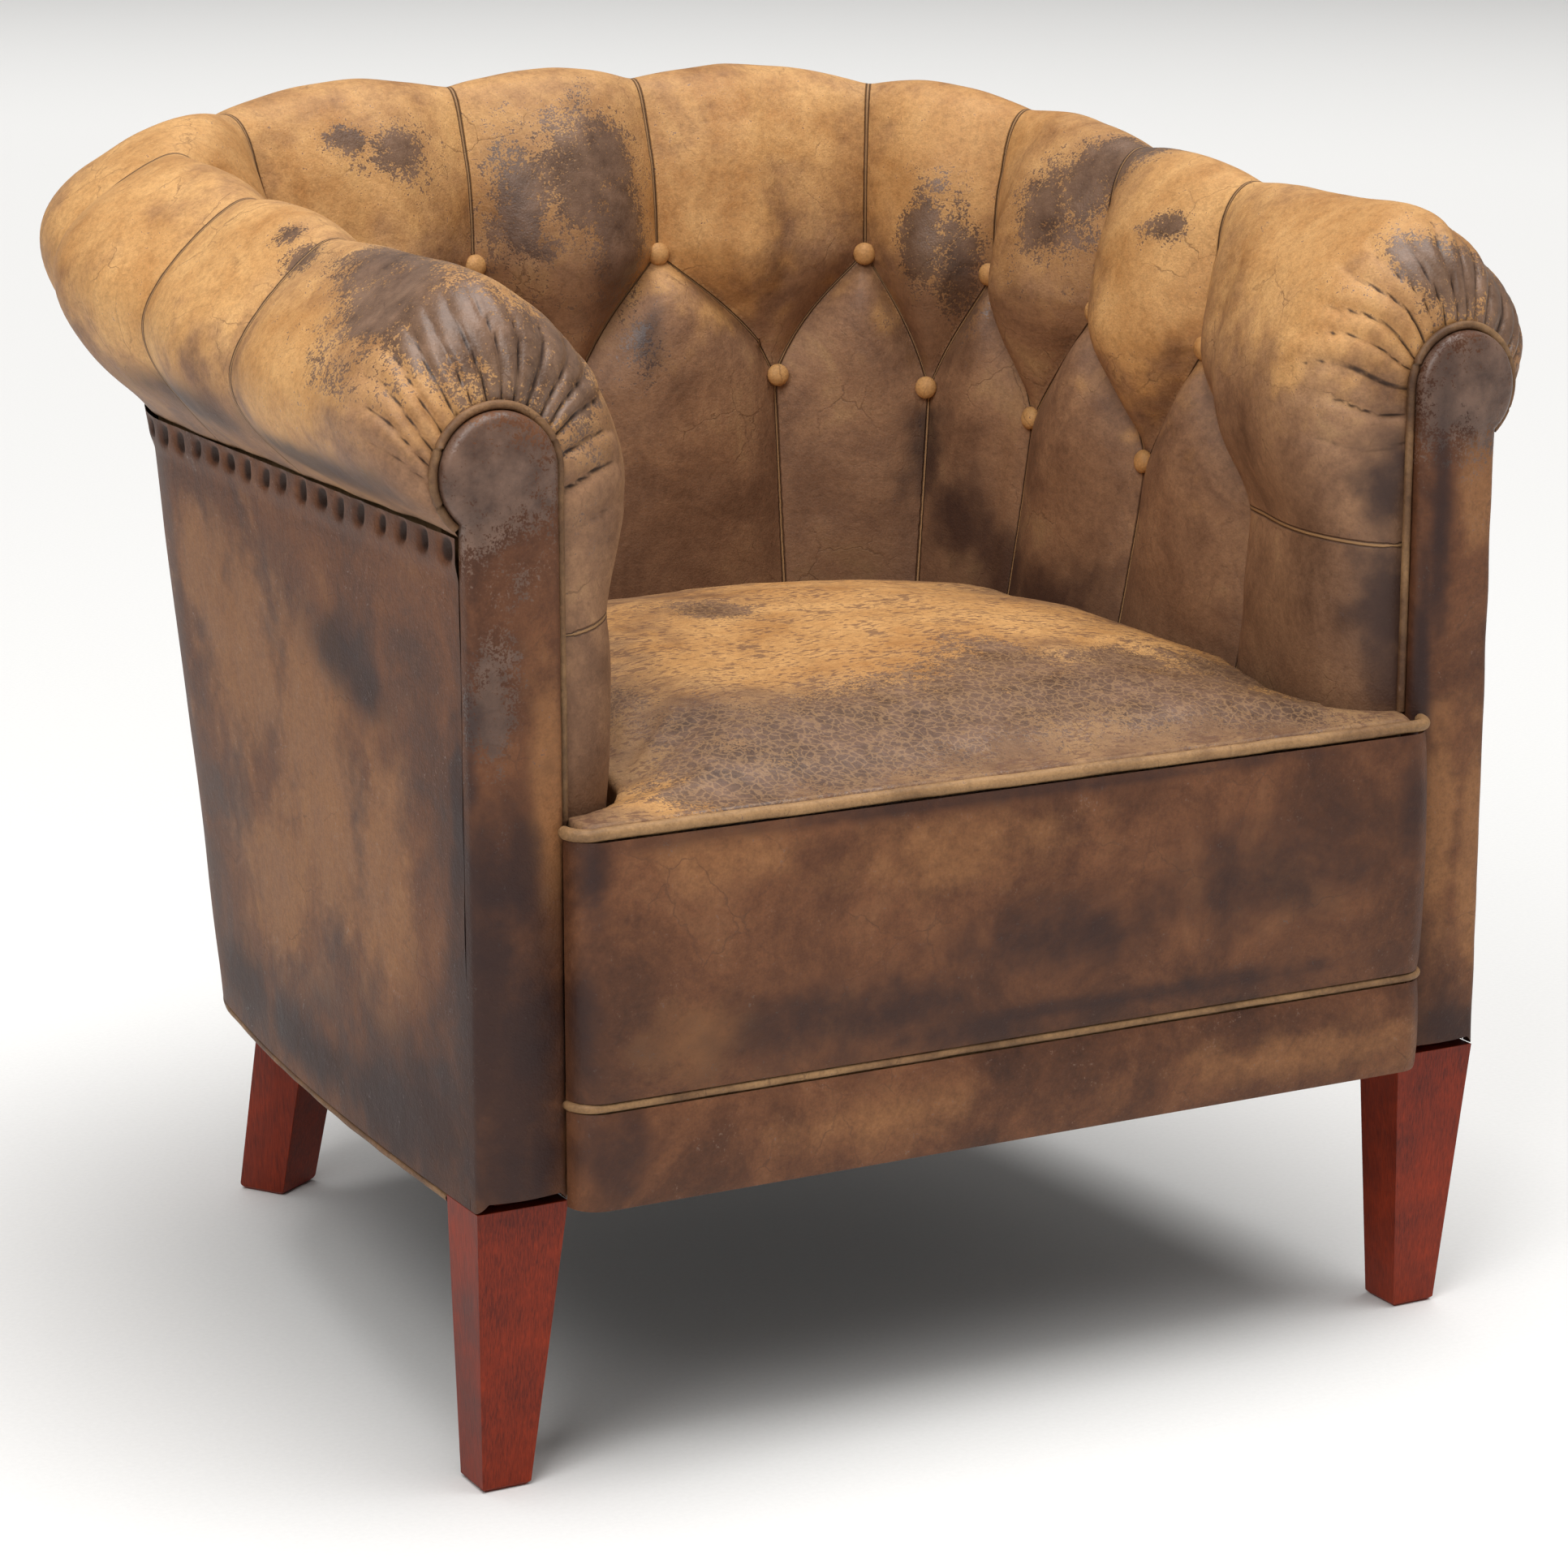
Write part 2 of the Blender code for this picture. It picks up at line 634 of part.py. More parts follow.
def front_post(side, label, surface):
    """A front post with its scroll head and, in one piece below it, the tapered leg."""
    outline = post_outline(side, COVER_THICKNESS + POST_PADDING, BODY_BASE)
    front = FACING_BACK
    post = extrude_outline("front_post_" + label, outline, front, front + POST_DEPTH, surface)
    leg = front_leg(side, label, surface)
    joint = post.modifiers.new("leg", "BOOLEAN")
    joint.operation = "UNION"
    joint.object = leg
    leg.hide_render = True
    leg.display_type = "WIRE"
    return post


def front_leg(side, label, surface):
    """The tapered square leg, which runs up into its post."""
    top_y = (FRONT + FRONT_LEG_FACE, FRONT + FRONT_LEG_FACE + FRONT_LEG_DEPTH)
    foot_y = (FRONT + FRONT_LEG_SETBACK, FRONT + FRONT_LEG_SETBACK + FRONT_FOOT)
    foot_outer = HALF_WIDTH - FRONT_LEG_OUTER_TAPER
    levels = [
        (0.0, foot_outer - FRONT_FOOT, foot_outer, foot_y, FOOT_CHAMFER),
        (FOOT_CHAMFER, foot_outer - FRONT_FOOT, foot_outer, foot_y, 0.0),
        (BODY_BASE - CLEARANCE, POST_INNER, HALF_WIDTH, top_y, 0.0),
    ]
    rings = []
    for height, inner, outer, depth, chamfer in levels:
        corners = [(inner + chamfer, depth[0] + chamfer), (outer - chamfer, depth[0] + chamfer),
                   (outer - chamfer, depth[1] - chamfer), (inner + chamfer, depth[1] - chamfer)]
        rings.append([Vector((side * x, y, height)) for x, y in corners])
    margin = COVER_THICKNESS + POST_PADDING + STUB_MARGIN
    stub_y = (FACING_BACK + STUB_SETBACK, FACING_BACK + POST_DEPTH - STUB_SETBACK)
    stub = [(POST_INNER + margin, stub_y[0]), (HALF_WIDTH - margin, stub_y[0]),
            (HALF_WIDTH - margin, stub_y[1]), (POST_INNER + margin, stub_y[1])]
    for height in (BODY_BASE - CLEARANCE, BODY_BASE + SEAT_RAIL_HEIGHT):
        rings.append([Vector((side * x, y, height)) for x, y in stub])
    return loft("leg_cutter_" + label, rings, surface)


def rear_leg(side, label, surface):
    """A raked and tapered rear leg, turned to face the curve of the body."""
    place = REAR_LEG_PLACE if side < 0 else PLAN_LENGTH - REAR_LEG_PLACE
    top, out = plan_point(place, taper_inset(place, BODY_BASE) + REAR_LEG_INSET)
    along = Vector((-out.y, out.x))
    under_rail = SEAT_RAIL_LOW - CLEARANCE
    levels = [
        (0.0, REAR_FOOT, 1.0, FOOT_CHAMFER),
        (FOOT_CHAMFER, REAR_FOOT, 1.0 - FOOT_CHAMFER / under_rail, 0.0),
        (under_rail, REAR_LEG_TOP, 0.0, 0.0),
    ]
    rings = []
    for height, size, rake, chamfer in levels:
        middle = top + out * REAR_LEG_RAKE * rake
        wide = size[0] / 2 - chamfer
        deep = size[1] / 2 - chamfer
        corners = [middle - along * wide - out * deep, middle + along * wide - out * deep,
                   middle + along * wide + out * deep, middle - along * wide + out * deep]
        rings.append([Vector((corner.x, corner.y, height)) for corner in corners])
    return loft("rear_leg_" + label, rings, surface)


def front_box_outline(face, corner, back):
    """Plan outline of a piece across the front, with rounded front corners."""
    points = [Vector((-SEAT_HALF, back)), Vector((-SEAT_HALF, face + corner))]
    for step in range(1, CORNER_STEPS + 1):
        turn = math.pi / 2 * step / CORNER_STEPS
        points.append(Vector((-SEAT_HALF + corner * (1 - math.cos(turn)),
                              face + corner * (1 - math.sin(turn)))))
    return points + [Vector((-point.x, point.y)) for point in reversed(points)]


def front_panel(name, low, high, bulge, surface):
    """A leather panel across the front of the seat, slightly stuffed."""
    rings = []
    for level in range(PANEL_STEPS + 1):
        share = level / PANEL_STEPS
        push = bulge * math.sin(share * math.pi)
        outline = front_box_outline(SEAT_FACE - push, BORDER_CORNER, SEAT_FACE + BORDER_DEPTH)
        rings.append([Vector((point.x, point.y, mix(low, high, share))) for point in outline])
    return loft(name, rings, surface, smooth_angle=40)


def front_welt(name, height, radius, sides, surface):
    """A welt along a seam of the front, following its rounded corners."""
    outline = front_box_outline(SEAT_FACE + radius, BORDER_CORNER - radius, FRONT - CLEARANCE)
    route = [Vector((point.x, point.y, height)) for point in outline]
    return tube(name, route, radius, surface, sides)


def wall_reach(place, pleats, lowers):
    """The furthest that the leather of the wall stands in over the seat at a place."""
    reach = 0.0
    for row in cover_rows():
        if row > LOWER_STATION:
            point = cover_point(place, row, pleats, lowers)
            edge, out = plan_point(place)
            reach = max(reach, (edge - Vector((point.x, point.y))).dot(out))
    return max(reach, POST_WIDTH + PIPING_RADIUS)


def seat_outline(margin, front_face):
    """Plan outline of a layer of the seat, kept clear of the posts, the arms and the back."""
    pleats = pleat_places()
    lowers = lower_places(pleats)
    half = SEAT_HALF - 2 * WELT_RADIUS - CLEARANCE - margin
    wall = []
    for place in cover_columns():
        reach = wall_reach(place, pleats, lowers) + CURVE_CLEARANCE + margin
        point = plan_point(place, reach)[0]
        point.x = max(min(point.x, half), -half)
        wall.append(point)
    corner = BORDER_CORNER - 2 * WELT_RADIUS - CLEARANCE
    front = []
    for step in range(SEAT_CORNER_STEPS + 1):
        turn = math.pi / 2 * step / SEAT_CORNER_STEPS
        front.append(Vector((half - corner * (1 - math.cos(turn)),
                             front_face + margin + corner * (1 - math.sin(turn)))))
    return wall + front + [Vector((-point.x, point.y)) for point in reversed(front)]


def seat_height(point):
    """Height of the crowned seat at a point in plan."""
    rear = REAR - SEAT_INSET
    share = min(max((point.y - SEAT_FACE) / (rear - SEAT_FACE), 0.0), 1.0)
    across = min(abs(point.x) / SEAT_HALF, 1.0)
    crown = (1 - across ** SEAT_SIDE_POWER) * (1 - abs(2 * share - 1) ** SEAT_LENGTH_POWER)
    return mix(SEAT_FRONT, SEAT_REAR, share ** 2) + SEAT_CROWN * crown


def shrunk(outline, share):
    """The outline drawn in towards the middle part of the seat."""
    drawn = []
    half = SEAT_HALF * MIDDLE_HALF_WIDTH
    for point in outline:
        front = SEAT_FACE * MIDDLE_FRONT
        if FRONT < point.y < front:
            front = mix(point.y, front, smoothstep(share / FRONT_GATHER))
        middle = Vector((min(max(point.x, -half), half),
                         min(max(point.y, front), REAR * MIDDLE_REAR)))
        drawn.append(middle + (point - middle) * (1 - share))
    return drawn


def seat_pad(surface):
    """The seat cover with its top stuffing, crowned over the springs."""
    behind_border = seat_outline(0.0, SEAT_FACE + BORDER_DEPTH + CLEARANCE)
    outline = seat_outline(0.0, SEAT_FACE + 2 * WELT_RADIUS + CLEARANCE)
    bottom = SEAT_FRONT - SEAT_PAD_DEPTH
    border_top = SEAT_FRONT - 2 * WELT_RADIUS
    rings = []
    for share in UNDER_RINGS:
        rings.append([Vector((point.x, point.y, bottom)) for point in shrunk(behind_border, share)])
    for height in (bottom, border_top + SEAT_LIP):
        rings.append([Vector((point.x, point.y, height)) for point in behind_border])
    rings.append([Vector((point.x, point.y, border_top + SEAT_LAP)) for point in outline])
    for share in TOP_RINGS:
        rings.append([Vector((point.x, point.y, seat_height(point)))
                      for point in shrunk(outline, share)])
    return loft("seat_cover", rings, surface, smooth_angle=50)


def seat_plate(name, high, depth, margin, surface):
    """A flat layer under the seat pad, with the pad's outline."""
    outline = seat_outline(margin, SEAT_FACE + BORDER_DEPTH + CLEARANCE - margin)
    rings = [[Vector((point.x, point.y, height)) for point in outline]
             for height in (high - depth, high)]
    return loft(name, rings, surface)


def rails(surface):
    """The seat rails and the top rails, sawn to the curve where they turn."""
    start = POST_BACK + CLEARANCE
    joint = STRAIGHT_SIDE - RAIL_JOINT_LEAD
    spans = [("left", start, joint), ("right", PLAN_LENGTH - joint, PLAN_LENGTH - start),
             ("back", joint + CLEARANCE, PLAN_LENGTH - joint - CLEARANCE)]
    for label, first, last in spans:
        wall_sweep("seat_rail_" + label, first, last, RAIL_OUT, RAIL_IN,
                   SEAT_RAIL_LOW, SEAT_RAIL_TOP, surface)
        wall_sweep("top_rail_" + label, first, last, RAIL_OUT, RAIL_IN,
                   TOP_RAIL_LOW, TOP_RAIL_LOW + TOP_RAIL_HEIGHT, surface)
    half = POST_INNER - CLEARANCE
    front = SEAT_FACE + BORDER_DEPTH + CLEARANCE
    box("seat_rail_front", (-half, front, SEAT_RAIL_LOW),
        (half, front + RAIL_THICKNESS, SEAT_RAIL_TOP), surface)


def uprights(surface):
    """The uprights between the seat rails and the top rails, which lean with the body."""
    low = SEAT_RAIL_TOP + CLEARANCE
    high = TOP_RAIL_LOW - CLEARANCE
    places = {"left": REAR_LEG_PLACE, "middle": PLAN_LENGTH / 2,
              "right": PLAN_LENGTH - REAR_LEG_PLACE}
    for label, place in places.items():
        wall_sweep("back_upright_" + label, place - UPRIGHT_WIDTH / 2, place + UPRIGHT_WIDTH / 2,
                   RAIL_OUT + CURVE_CLEARANCE, RAIL_IN, low, high, surface)


def spring(name, middle, low, high, surface):
    """An hourglass coil spring, widest at its two ends."""
    segments = SPRING_TURNS * SPRING_FACETS
    rings = []
    for index in range(segments + 1):
        share = index / segments
        turn = math.tau * SPRING_TURNS * share
        radius = mix(SPRING_WAIST, SPRING_RADIUS, abs(2 * share - 1) ** SPRING_FLARE)
        height = mix(low + SPRING_WIRE, high - SPRING_WIRE, share)
        out = Vector((math.cos(turn), math.sin(turn), 0.0))
        centre = Vector((middle[0], middle[1], height)) + out * radius
        up = Vector((0, 0, 1))
        rings.append([centre + out * SPRING_WIRE, centre + up * SPRING_WIRE,
                      centre - out * SPRING_WIRE, centre - up * SPRING_WIRE])
    return loft(name, rings, surface, smooth_angle=80)


def springs(surface, low, high):
    """Two rows of three springs and a rear pair."""
    outer = SEAT_HALF - SPRING_INSET
    rear = SEAT_HALF - REAR_SPRING_INSET
    rows = [(-outer, 0.0, outer)] * 2 + [(-rear, rear)]
    middles = [(x, FRONT + FRONT_SPRINGS + SPRING_ROW_PITCH * row)
               for row, places in enumerate(rows) for x in places]
    for number, middle in enumerate(middles, 1):
        spring("seat_spring_%d" % number, middle, low, high, surface)


def webbing(surface, low):
    """Crossed jute straps under the springs, as one mat with square gaps."""
    half = HALF_WIDTH - RAIL_IN - taper_inset(STRAIGHT_SIDE, BODY_BASE) - CLEARANCE
    front = FRONT + RAIL_THICKNESS + CLEARANCE
    back = REAR - BASE_TAPER - RAIL_IN - CURVE_CLEARANCE
    gap_x = (2 * half - WEB_COUNT * WEB_WIDTH) / (WEB_COUNT - 1)
    gap_y = (back - front - WEB_COUNT * WEB_WIDTH) / (WEB_COUNT - 1)
    lines_x = [-half]
    lines_y = [front]
    for index in range(WEB_COUNT):
        lines_x.append(lines_x[-1] + WEB_WIDTH)
        lines_y.append(lines_y[-1] + WEB_WIDTH)
        if index < WEB_COUNT - 1:
            lines_x.append(lines_x[-1] + gap_x)
            lines_y.append(lines_y[-1] + gap_y)
    shape = bmesh.new()
    grid = [[shape.verts.new((x, y, low)) for x in lines_x] for y in lines_y]
    corner = CORNER_RADIUS - RAIL_IN
    for row in range(len(lines_y) - 1):
        for column in range(len(lines_x) - 1):
            gap = row % 2 == 1 and column % 2 == 1
            reach = max(abs(lines_x[column]), abs(lines_x[column + 1]))
            past_side = reach - (half - corner)
            past_back = lines_y[row + 1] - (back - corner)
            outside = past_side > 0 and past_back > 0 and math.hypot(past_side, past_back) > corner
            if not gap and not outside:
                shape.faces.new([grid[row][column], grid[row][column + 1],
                                 grid[row + 1][column + 1], grid[row + 1][column]])
    bmesh.ops.delete(shape, geom=[vert for vert in shape.verts if not vert.link_faces],
                     context="VERTS")
    extruded = bmesh.ops.extrude_face_region(shape, geom=shape.faces[:])
    top = [item for item in extruded["geom"] if isinstance(item, bmesh.types.BMVert)]
    bmesh.ops.translate(shape, verts=top, vec=(0, 0, WEB_THICKNESS))
    bmesh.ops.recalc_face_normals(shape, faces=shape.faces[:])
    mesh = bpy.data.meshes.new("seat_webbing")
    shape.to_mesh(mesh)
    shape.free()
    return add_object("seat_webbing", mesh, surface)


def button(name, place, station, surface):
    """A leather button in its hollow: a low dome over the tapering tuft that holds it."""
    inset, height = stations(place)[station]
    normal = section_normal(place, float(station))
    base = place_on_wall(place, inset, height)
    tip = place_on_wall(place, inset + normal.x, height + normal.y)
    axis = (tip - base).normalized()
    across = axis.cross(Vector((0, 0, 1))).normalized()
    up = across.cross(axis)
    profile = [(BUTTON_STEM * STEM_TIP[0], BUTTON_RADIUS * STEM_TIP[1]),
               (BUTTON_STEM, BUTTON_RADIUS)]
    for step in (1, 2):
        turn = math.pi / 2 * step / 3
        profile.append((BUTTON_STEM + BUTTON_HEIGHT * math.sin(turn),
                        BUTTON_RADIUS * math.cos(turn)))
    rings = []
    for along, radius in profile:
        rings.append([base + axis * along + (across * math.cos(turn) + up * math.sin(turn)) * radius
                      for turn in (math.tau * step / BUTTON_SIDES for step in range(BUTTON_SIDES))])
    return loft(name, rings, surface, smooth_angle=60)


def buttons(surface):
    pleats = pleat_places()
    for number, place in enumerate(pleats, 1):
        button("upper_button_%02d" % number, place, UPPER_STATION, surface)
    for number, place in enumerate(lower_places(pleats), 1):
        button("lower_button_%02d" % number, place, LOWER_STATION, surface)


def dust_cover(surface):
    """The black cloth under the seat, cut round the posts and the rear legs."""
    hem = OUTER_SKIN + RAIL_THICKNESS / 2
    start = POST_BACK + 2 * CLEARANCE
    notch = REAR_LEG_INSET + REAR_LEG_TOP[1] / 2 + CURVE_CLEARANCE
    notch_radius = CORNER_RADIUS - taper_inset(REAR_LEG_PLACE, BODY_BASE) - notch
    reach = CORNER_RADIUS * math.atan((REAR_LEG_TOP[0] / 2 + CURVE_CLEARANCE) / notch_radius)
    near, far = REAR_LEG_PLACE - reach, REAR_LEG_PLACE + reach
    half = [(place, hem) for place in wall_places(start, near)]
    half += [(near, notch), (far, notch)]
    half += [(place, hem) for place in wall_places(far, PLAN_LENGTH / 2)[:-1]]
    edge = half + [(PLAN_LENGTH - place, inset) for place, inset in reversed(half)]
    outline = [plan_point(place, taper_inset(place, BODY_BASE) + inset)[0] for place, inset in edge]
    side = POST_INNER - CLEARANCE
    front = FRONT + RAIL_THICKNESS / 2
    outline += [Vector((side, FRONT + POST_BACK)), Vector((side, front)),
                Vector((-side, front)), Vector((-side, FRONT + POST_BACK))]
    rings = [[Vector((point.x, point.y, height)) for point in outline]
             for height in (BODY_BASE, BODY_BASE + DUST_COVER)]
    return loft("dust_cover", rings, surface)


def centre_on_floor():
    """Put the origin on the floor in the middle of the footprint."""
    bpy.context.view_layer.update()
    places = []
    kept = [item for item in bpy.data.objects if item.type == "MESH" and not item.hide_render]
    for item in kept:
        places += [(item.matrix_world @ vert.co).y for vert in item.data.vertices]
    shift = (max(places) + min(places)) / 2
    for item in bpy.data.objects:
        item.location.y -= shift


def clear_scene():
    for old in list(bpy.data.objects):
        bpy.data.objects.remove(old, do_unlink=True)


def main():
    clear_scene()
    surfaces = make_materials()
    buttoned_cover(surfaces["leather"])
    stuffing_core(surfaces["stuffing"])
    outside_cover(surfaces["leather_plain"])
    base_piping(surfaces["piping"])
    for side, label in ((-1, "left"), (1, "right")):
        facing(side, label, surfaces["leather_plain"])
        facing_piping(side, label, surfaces["piping"])
        front_post(side, label, surfaces["leg"])
        rear_leg(side, label, surfaces["leg"])
    front_panel("front_border", BORDER_BOTTOM, SEAT_FRONT - 2 * WELT_RADIUS, BORDER_BULGE,
                surfaces["leather_plain"])
    front_panel("apron_band", APRON_BOTTOM, BORDER_BOTTOM - 2 * PIPING_RADIUS - 2 * CLEARANCE,
                APRON_BULGE, surfaces["leather_plain"])
    front_welt("seat_welt", SEAT_FRONT - WELT_RADIUS + CLEARANCE, WELT_RADIUS, WELT_SIDES,
               surfaces["piping"])
    front_welt("border_piping", BORDER_BOTTOM - PIPING_RADIUS - CLEARANCE, PIPING_RADIUS,
               PIPING_SIDES, surfaces["piping"])
    seat_pad(surfaces["leather"])
    stuffing_top = SEAT_FRONT - SEAT_PAD_DEPTH - CLEARANCE
    seat_plate("seat_stuffing", stuffing_top, STUFFING_DEPTH, STUFFING_MARGIN,
               surfaces["stuffing"])
    hessian_top = stuffing_top - STUFFING_DEPTH - CLEARANCE
    seat_plate("spring_hessian", hessian_top, HESSIAN_DEPTH, HESSIAN_MARGIN,
               surfaces["webbing"])
    web_low = SEAT_RAIL_LOW + CLEARANCE
    webbing(surfaces["webbing"], web_low)
    springs(surfaces["spring"], web_low + WEB_THICKNESS + CLEARANCE,
            hessian_top - HESSIAN_DEPTH - CLEARANCE)
    rails(surfaces["frame"])
    uprights(surfaces["frame"])
    buttons(surfaces["leather"])
    dust_cover(surfaces["cloth"])
    centre_on_floor()


main()
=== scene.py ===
"""Looks of a worn leather club chair with a buttoned tub back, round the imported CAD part.

Metres, +Z up, the front of the chair faces -Y. A place on the upholstery is given by its
distance along the U-shaped tack line from the left front end, and by its position across
the section, counted in the seven stations from the tack line over the roll to the seat.
"""
import math
import random

import bmesh
import bpy
import numpy as np
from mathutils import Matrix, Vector, noise
from mathutils.kdtree import KDTree


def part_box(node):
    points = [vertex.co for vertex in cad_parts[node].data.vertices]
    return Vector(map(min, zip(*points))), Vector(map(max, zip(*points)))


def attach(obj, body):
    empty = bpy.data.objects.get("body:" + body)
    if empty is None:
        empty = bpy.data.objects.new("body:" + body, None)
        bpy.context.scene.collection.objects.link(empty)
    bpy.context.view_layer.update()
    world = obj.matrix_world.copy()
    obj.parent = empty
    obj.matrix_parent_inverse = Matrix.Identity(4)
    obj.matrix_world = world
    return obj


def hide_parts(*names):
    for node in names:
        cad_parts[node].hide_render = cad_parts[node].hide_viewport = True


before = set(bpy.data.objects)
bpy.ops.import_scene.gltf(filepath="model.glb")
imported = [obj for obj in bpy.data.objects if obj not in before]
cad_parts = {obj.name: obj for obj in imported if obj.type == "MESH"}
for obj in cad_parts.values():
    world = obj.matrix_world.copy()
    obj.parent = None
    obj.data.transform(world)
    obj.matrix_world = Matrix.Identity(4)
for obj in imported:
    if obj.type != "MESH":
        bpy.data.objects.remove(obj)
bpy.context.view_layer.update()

# Body, seen from above
BODY_WIDTH = 0.694
SIDE_LENGTH = 0.658
CORNER_RADIUS = 0.200
BASE_TAPER = 0.044
BASE_TAPER_RUN = 0.55
BASE_TAPER_POWER = 2.5

# Heights above the floor
BODY_BASE = 0.178
SEAT_FRONT = 0.400
TACK_LINE = 0.566

# Front posts and their leather facings
POST_WIDTH = 0.057
FACING_DEPTH = 0.012
HEAD_RADIUS = 0.035
HEAD_CENTRE = 0.600
HEAD_SHOULDER = (0.78, 0.62)
HEAD_SIDE_DROP = 0.006

# Section of the arm, and of the back where it differs, measured in a pleat
RISE_START = 0.12
RISE_RUN = 0.73
ROLL_OVERHANG = (0.034, 0.060)
ROLL_WIDEST = (0.624, 0.688)
CREST_INSET = 0.020
ROLL_CREST = (0.695, 0.750)
SHOULDER_INSET = 0.047
SHOULDER = (0.655, 0.700)
BUTTON_INSET = 0.045
FRONT_BUTTON_RUN = 0.10
LOWER_BUTTON_INSET_BACK = 0.055
UPPER_BUTTON = (0.595, 0.631)
LOWER_BUTTON = (0.504, 0.541)
SEAT_INSET = 0.086
COVER_BOTTOM = 0.356

# How far the leather swells between the pleats, at the seven stations
STATION_PUFF = (0.0, 0.019, 0.011, 0.034, 0.054, 0.042, 0.008)
FRONT_PANEL_FULLNESS = 1.25
LEFT_ARM_FULLNESS = 0.016
BUTTON_FULLNESS = 0.6
LEVEL_PLEAT_SWELL = 0.80
LEVEL_PLEAT_WIDTH = 0.6
FRONT_TUCK = 0.030
END_DOME = 0.062
PUFF_POWER = 0.80

# Share of the swelling that the pleats keep: on the roll of an arm, and down the inside wall
ARM_PLEAT_FILL = 0.45
WALL_PLEAT_FILL = (0.0, 0.22, 0.25, 0.33, 0.33)
ROLL_END, ROLL_FADE = 3.4, 1.2
FAR_FROM_PLEAT = 0.012

# Cells of the fine lining: between a pleat and the next lower button, and between stations
HALF_PANEL_CELLS = 30
STATION_CELLS = (20, 38, 24, 24, 30, 40)
DOME_CELLS = 30
LEAD_CELLS = 30
RELAX_ROUNDS = 26

# Panels between the pleats, from the middle of the back to the front
PANELS = (0.192, 0.140, 0.148, 0.134)
CENTRE_PANEL = 0.140
FIRST_BUTTON_LEAD = 0.074

# Seat and its front
SEAT_OVERHANG = 0.021
SEAT_END_OVERLAP = 0.003
BORDER_CORNER = 0.018
BORDER_DEPTH = 0.019
BORDER_BOTTOM = 0.240
APRON_BOTTOM = 0.176
WELT_RADIUS = 0.0038
PIPING_RADIUS = 0.0028

THIN_PIPING = 0.0026
BORDER_BULGE = 0.005
APRON_BULGE = 0.003
PANEL_LEVELS = 34
SEAT_VOXEL = 0.0045
SEAT_PRESSURE = 4.0
SEAT_SWELL = 0.006
CLOTH_FRAMES = 20

# A button turned about its own axis, as heights over its seat and radii
BUTTON_PROFILE = ((-0.006, 0.0045), (-0.003, 0.0066), (-0.001, 0.0078), (0.0006, 0.0080),
                  (0.0022, 0.0075), (0.0037, 0.0061), (0.0048, 0.0042), (0.0054, 0.0021),
                  (0.0055, 0.0002))
BUTTON_STEM = 0.0165
BUTTON_SIDES = 20
CLEARANCE = 0.0003

# Folds that run out from a button
BUTTON_FOLD = 0.0007
BUTTON_FOLD_REACH = 0.014
WALL_STATION = 0.085

# Gathers round a scroll head: their turns in degrees, and their sizes in metres
GATHER_COUNT = 18
GATHER_PITCH = 14.0
GATHER_STRAY = 3.6
FIRST_GATHER = -34.0
GATHER_HEIGHT = (0.0045, 0.0080)
GATHER_LENGTH = (0.042, 0.086)
GATHER_DOME = 0.040
STATION_TURNS = (235, 180, 90, 38, -9, -60, -75)

# Padded facings
FACING_RIM = 0.006
FACING_SWELL = 0.0025
FACING_ARC_STEPS = 56
FACING_SIDE_STEPS = 130
FACING_SPINE_SHARES = (0.15, 0.3, 0.45, 0.6, 0.75, 0.88, 1.0)

# Hidden tacks in the strip under the roll
TACK_PITCH = 0.029
TACK_HEIGHT = 0.5565
TACK_STRIP = 0.028
DIMPLE_WIDTH = 0.0068
DIMPLE_TALL = 0.0058
DIMPLE_DEPTH = 0.0030
PUCKER = 0.0022
OUTER_COLUMNS = 1300
OUTER_ROWS = 48
TACK_ROWS = 20

# Legs
FRONT_LEG_DEPTH = 0.042
FRONT_LEG_FACE = 0.003

# Photograph's point of view, paper and lights: place, size or angle, and strength
CAMERA_PLACE = (-1.32749, -2.54117, 1.02077)
CAMERA_TURN = math.radians(-28.3)
CAMERA_TILT = math.radians(13.9)
CAMERA_LENS = 102.48
STUDIO_RADIUS = 14.0
STUDIO_SIDES = 64
WALL_GLOW = 1.1
WORLD_LIGHT = 0.25
LIGHT_AIM = (0, 0, 0.4)
LIGHTS = (("key_light", "AREA", (-1.9, -1.7, 2.6), 1.6, 58),
          ("top_light", "SUN", (0.3, -0.2, 3.0), math.radians(50), 3.1),
          ("fill_light", "AREA", (2.2, -2.2, 1.4), 2.0, 5))

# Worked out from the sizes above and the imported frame
HALF_WIDTH = BODY_WIDTH / 2
POST_INNER = HALF_WIDTH - POST_WIDTH
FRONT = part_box("scroll_facing_left")[0].y
STRAIGHT_SIDE = SIDE_LENGTH - CORNER_RADIUS
QUARTER_TURN = CORNER_RADIUS * math.pi / 2
PLAN_LENGTH = 2 * STRAIGHT_SIDE + 2 * QUARTER_TURN + BODY_WIDTH - 2 * CORNER_RADIUS
COVER_START = FACING_DEPTH + 2 * CLEARANCE
SEAT_FACE = FRONT - SEAT_OVERHANG
SEAT_HALF = POST_INNER + SEAT_END_OVERLAP
UPPER, LOWER, LAST = 4, 5, 6


def smoothstep(value):
    value = np.clip(value, 0.0, 1.0)
    return value * value * (3 - 2 * value)


def mix(first, second, share):
    return first + (second - first) * share


def from_front(place):
    """Distance along the plan line from the nearer front end."""
    return np.minimum(place, PLAN_LENGTH - place)


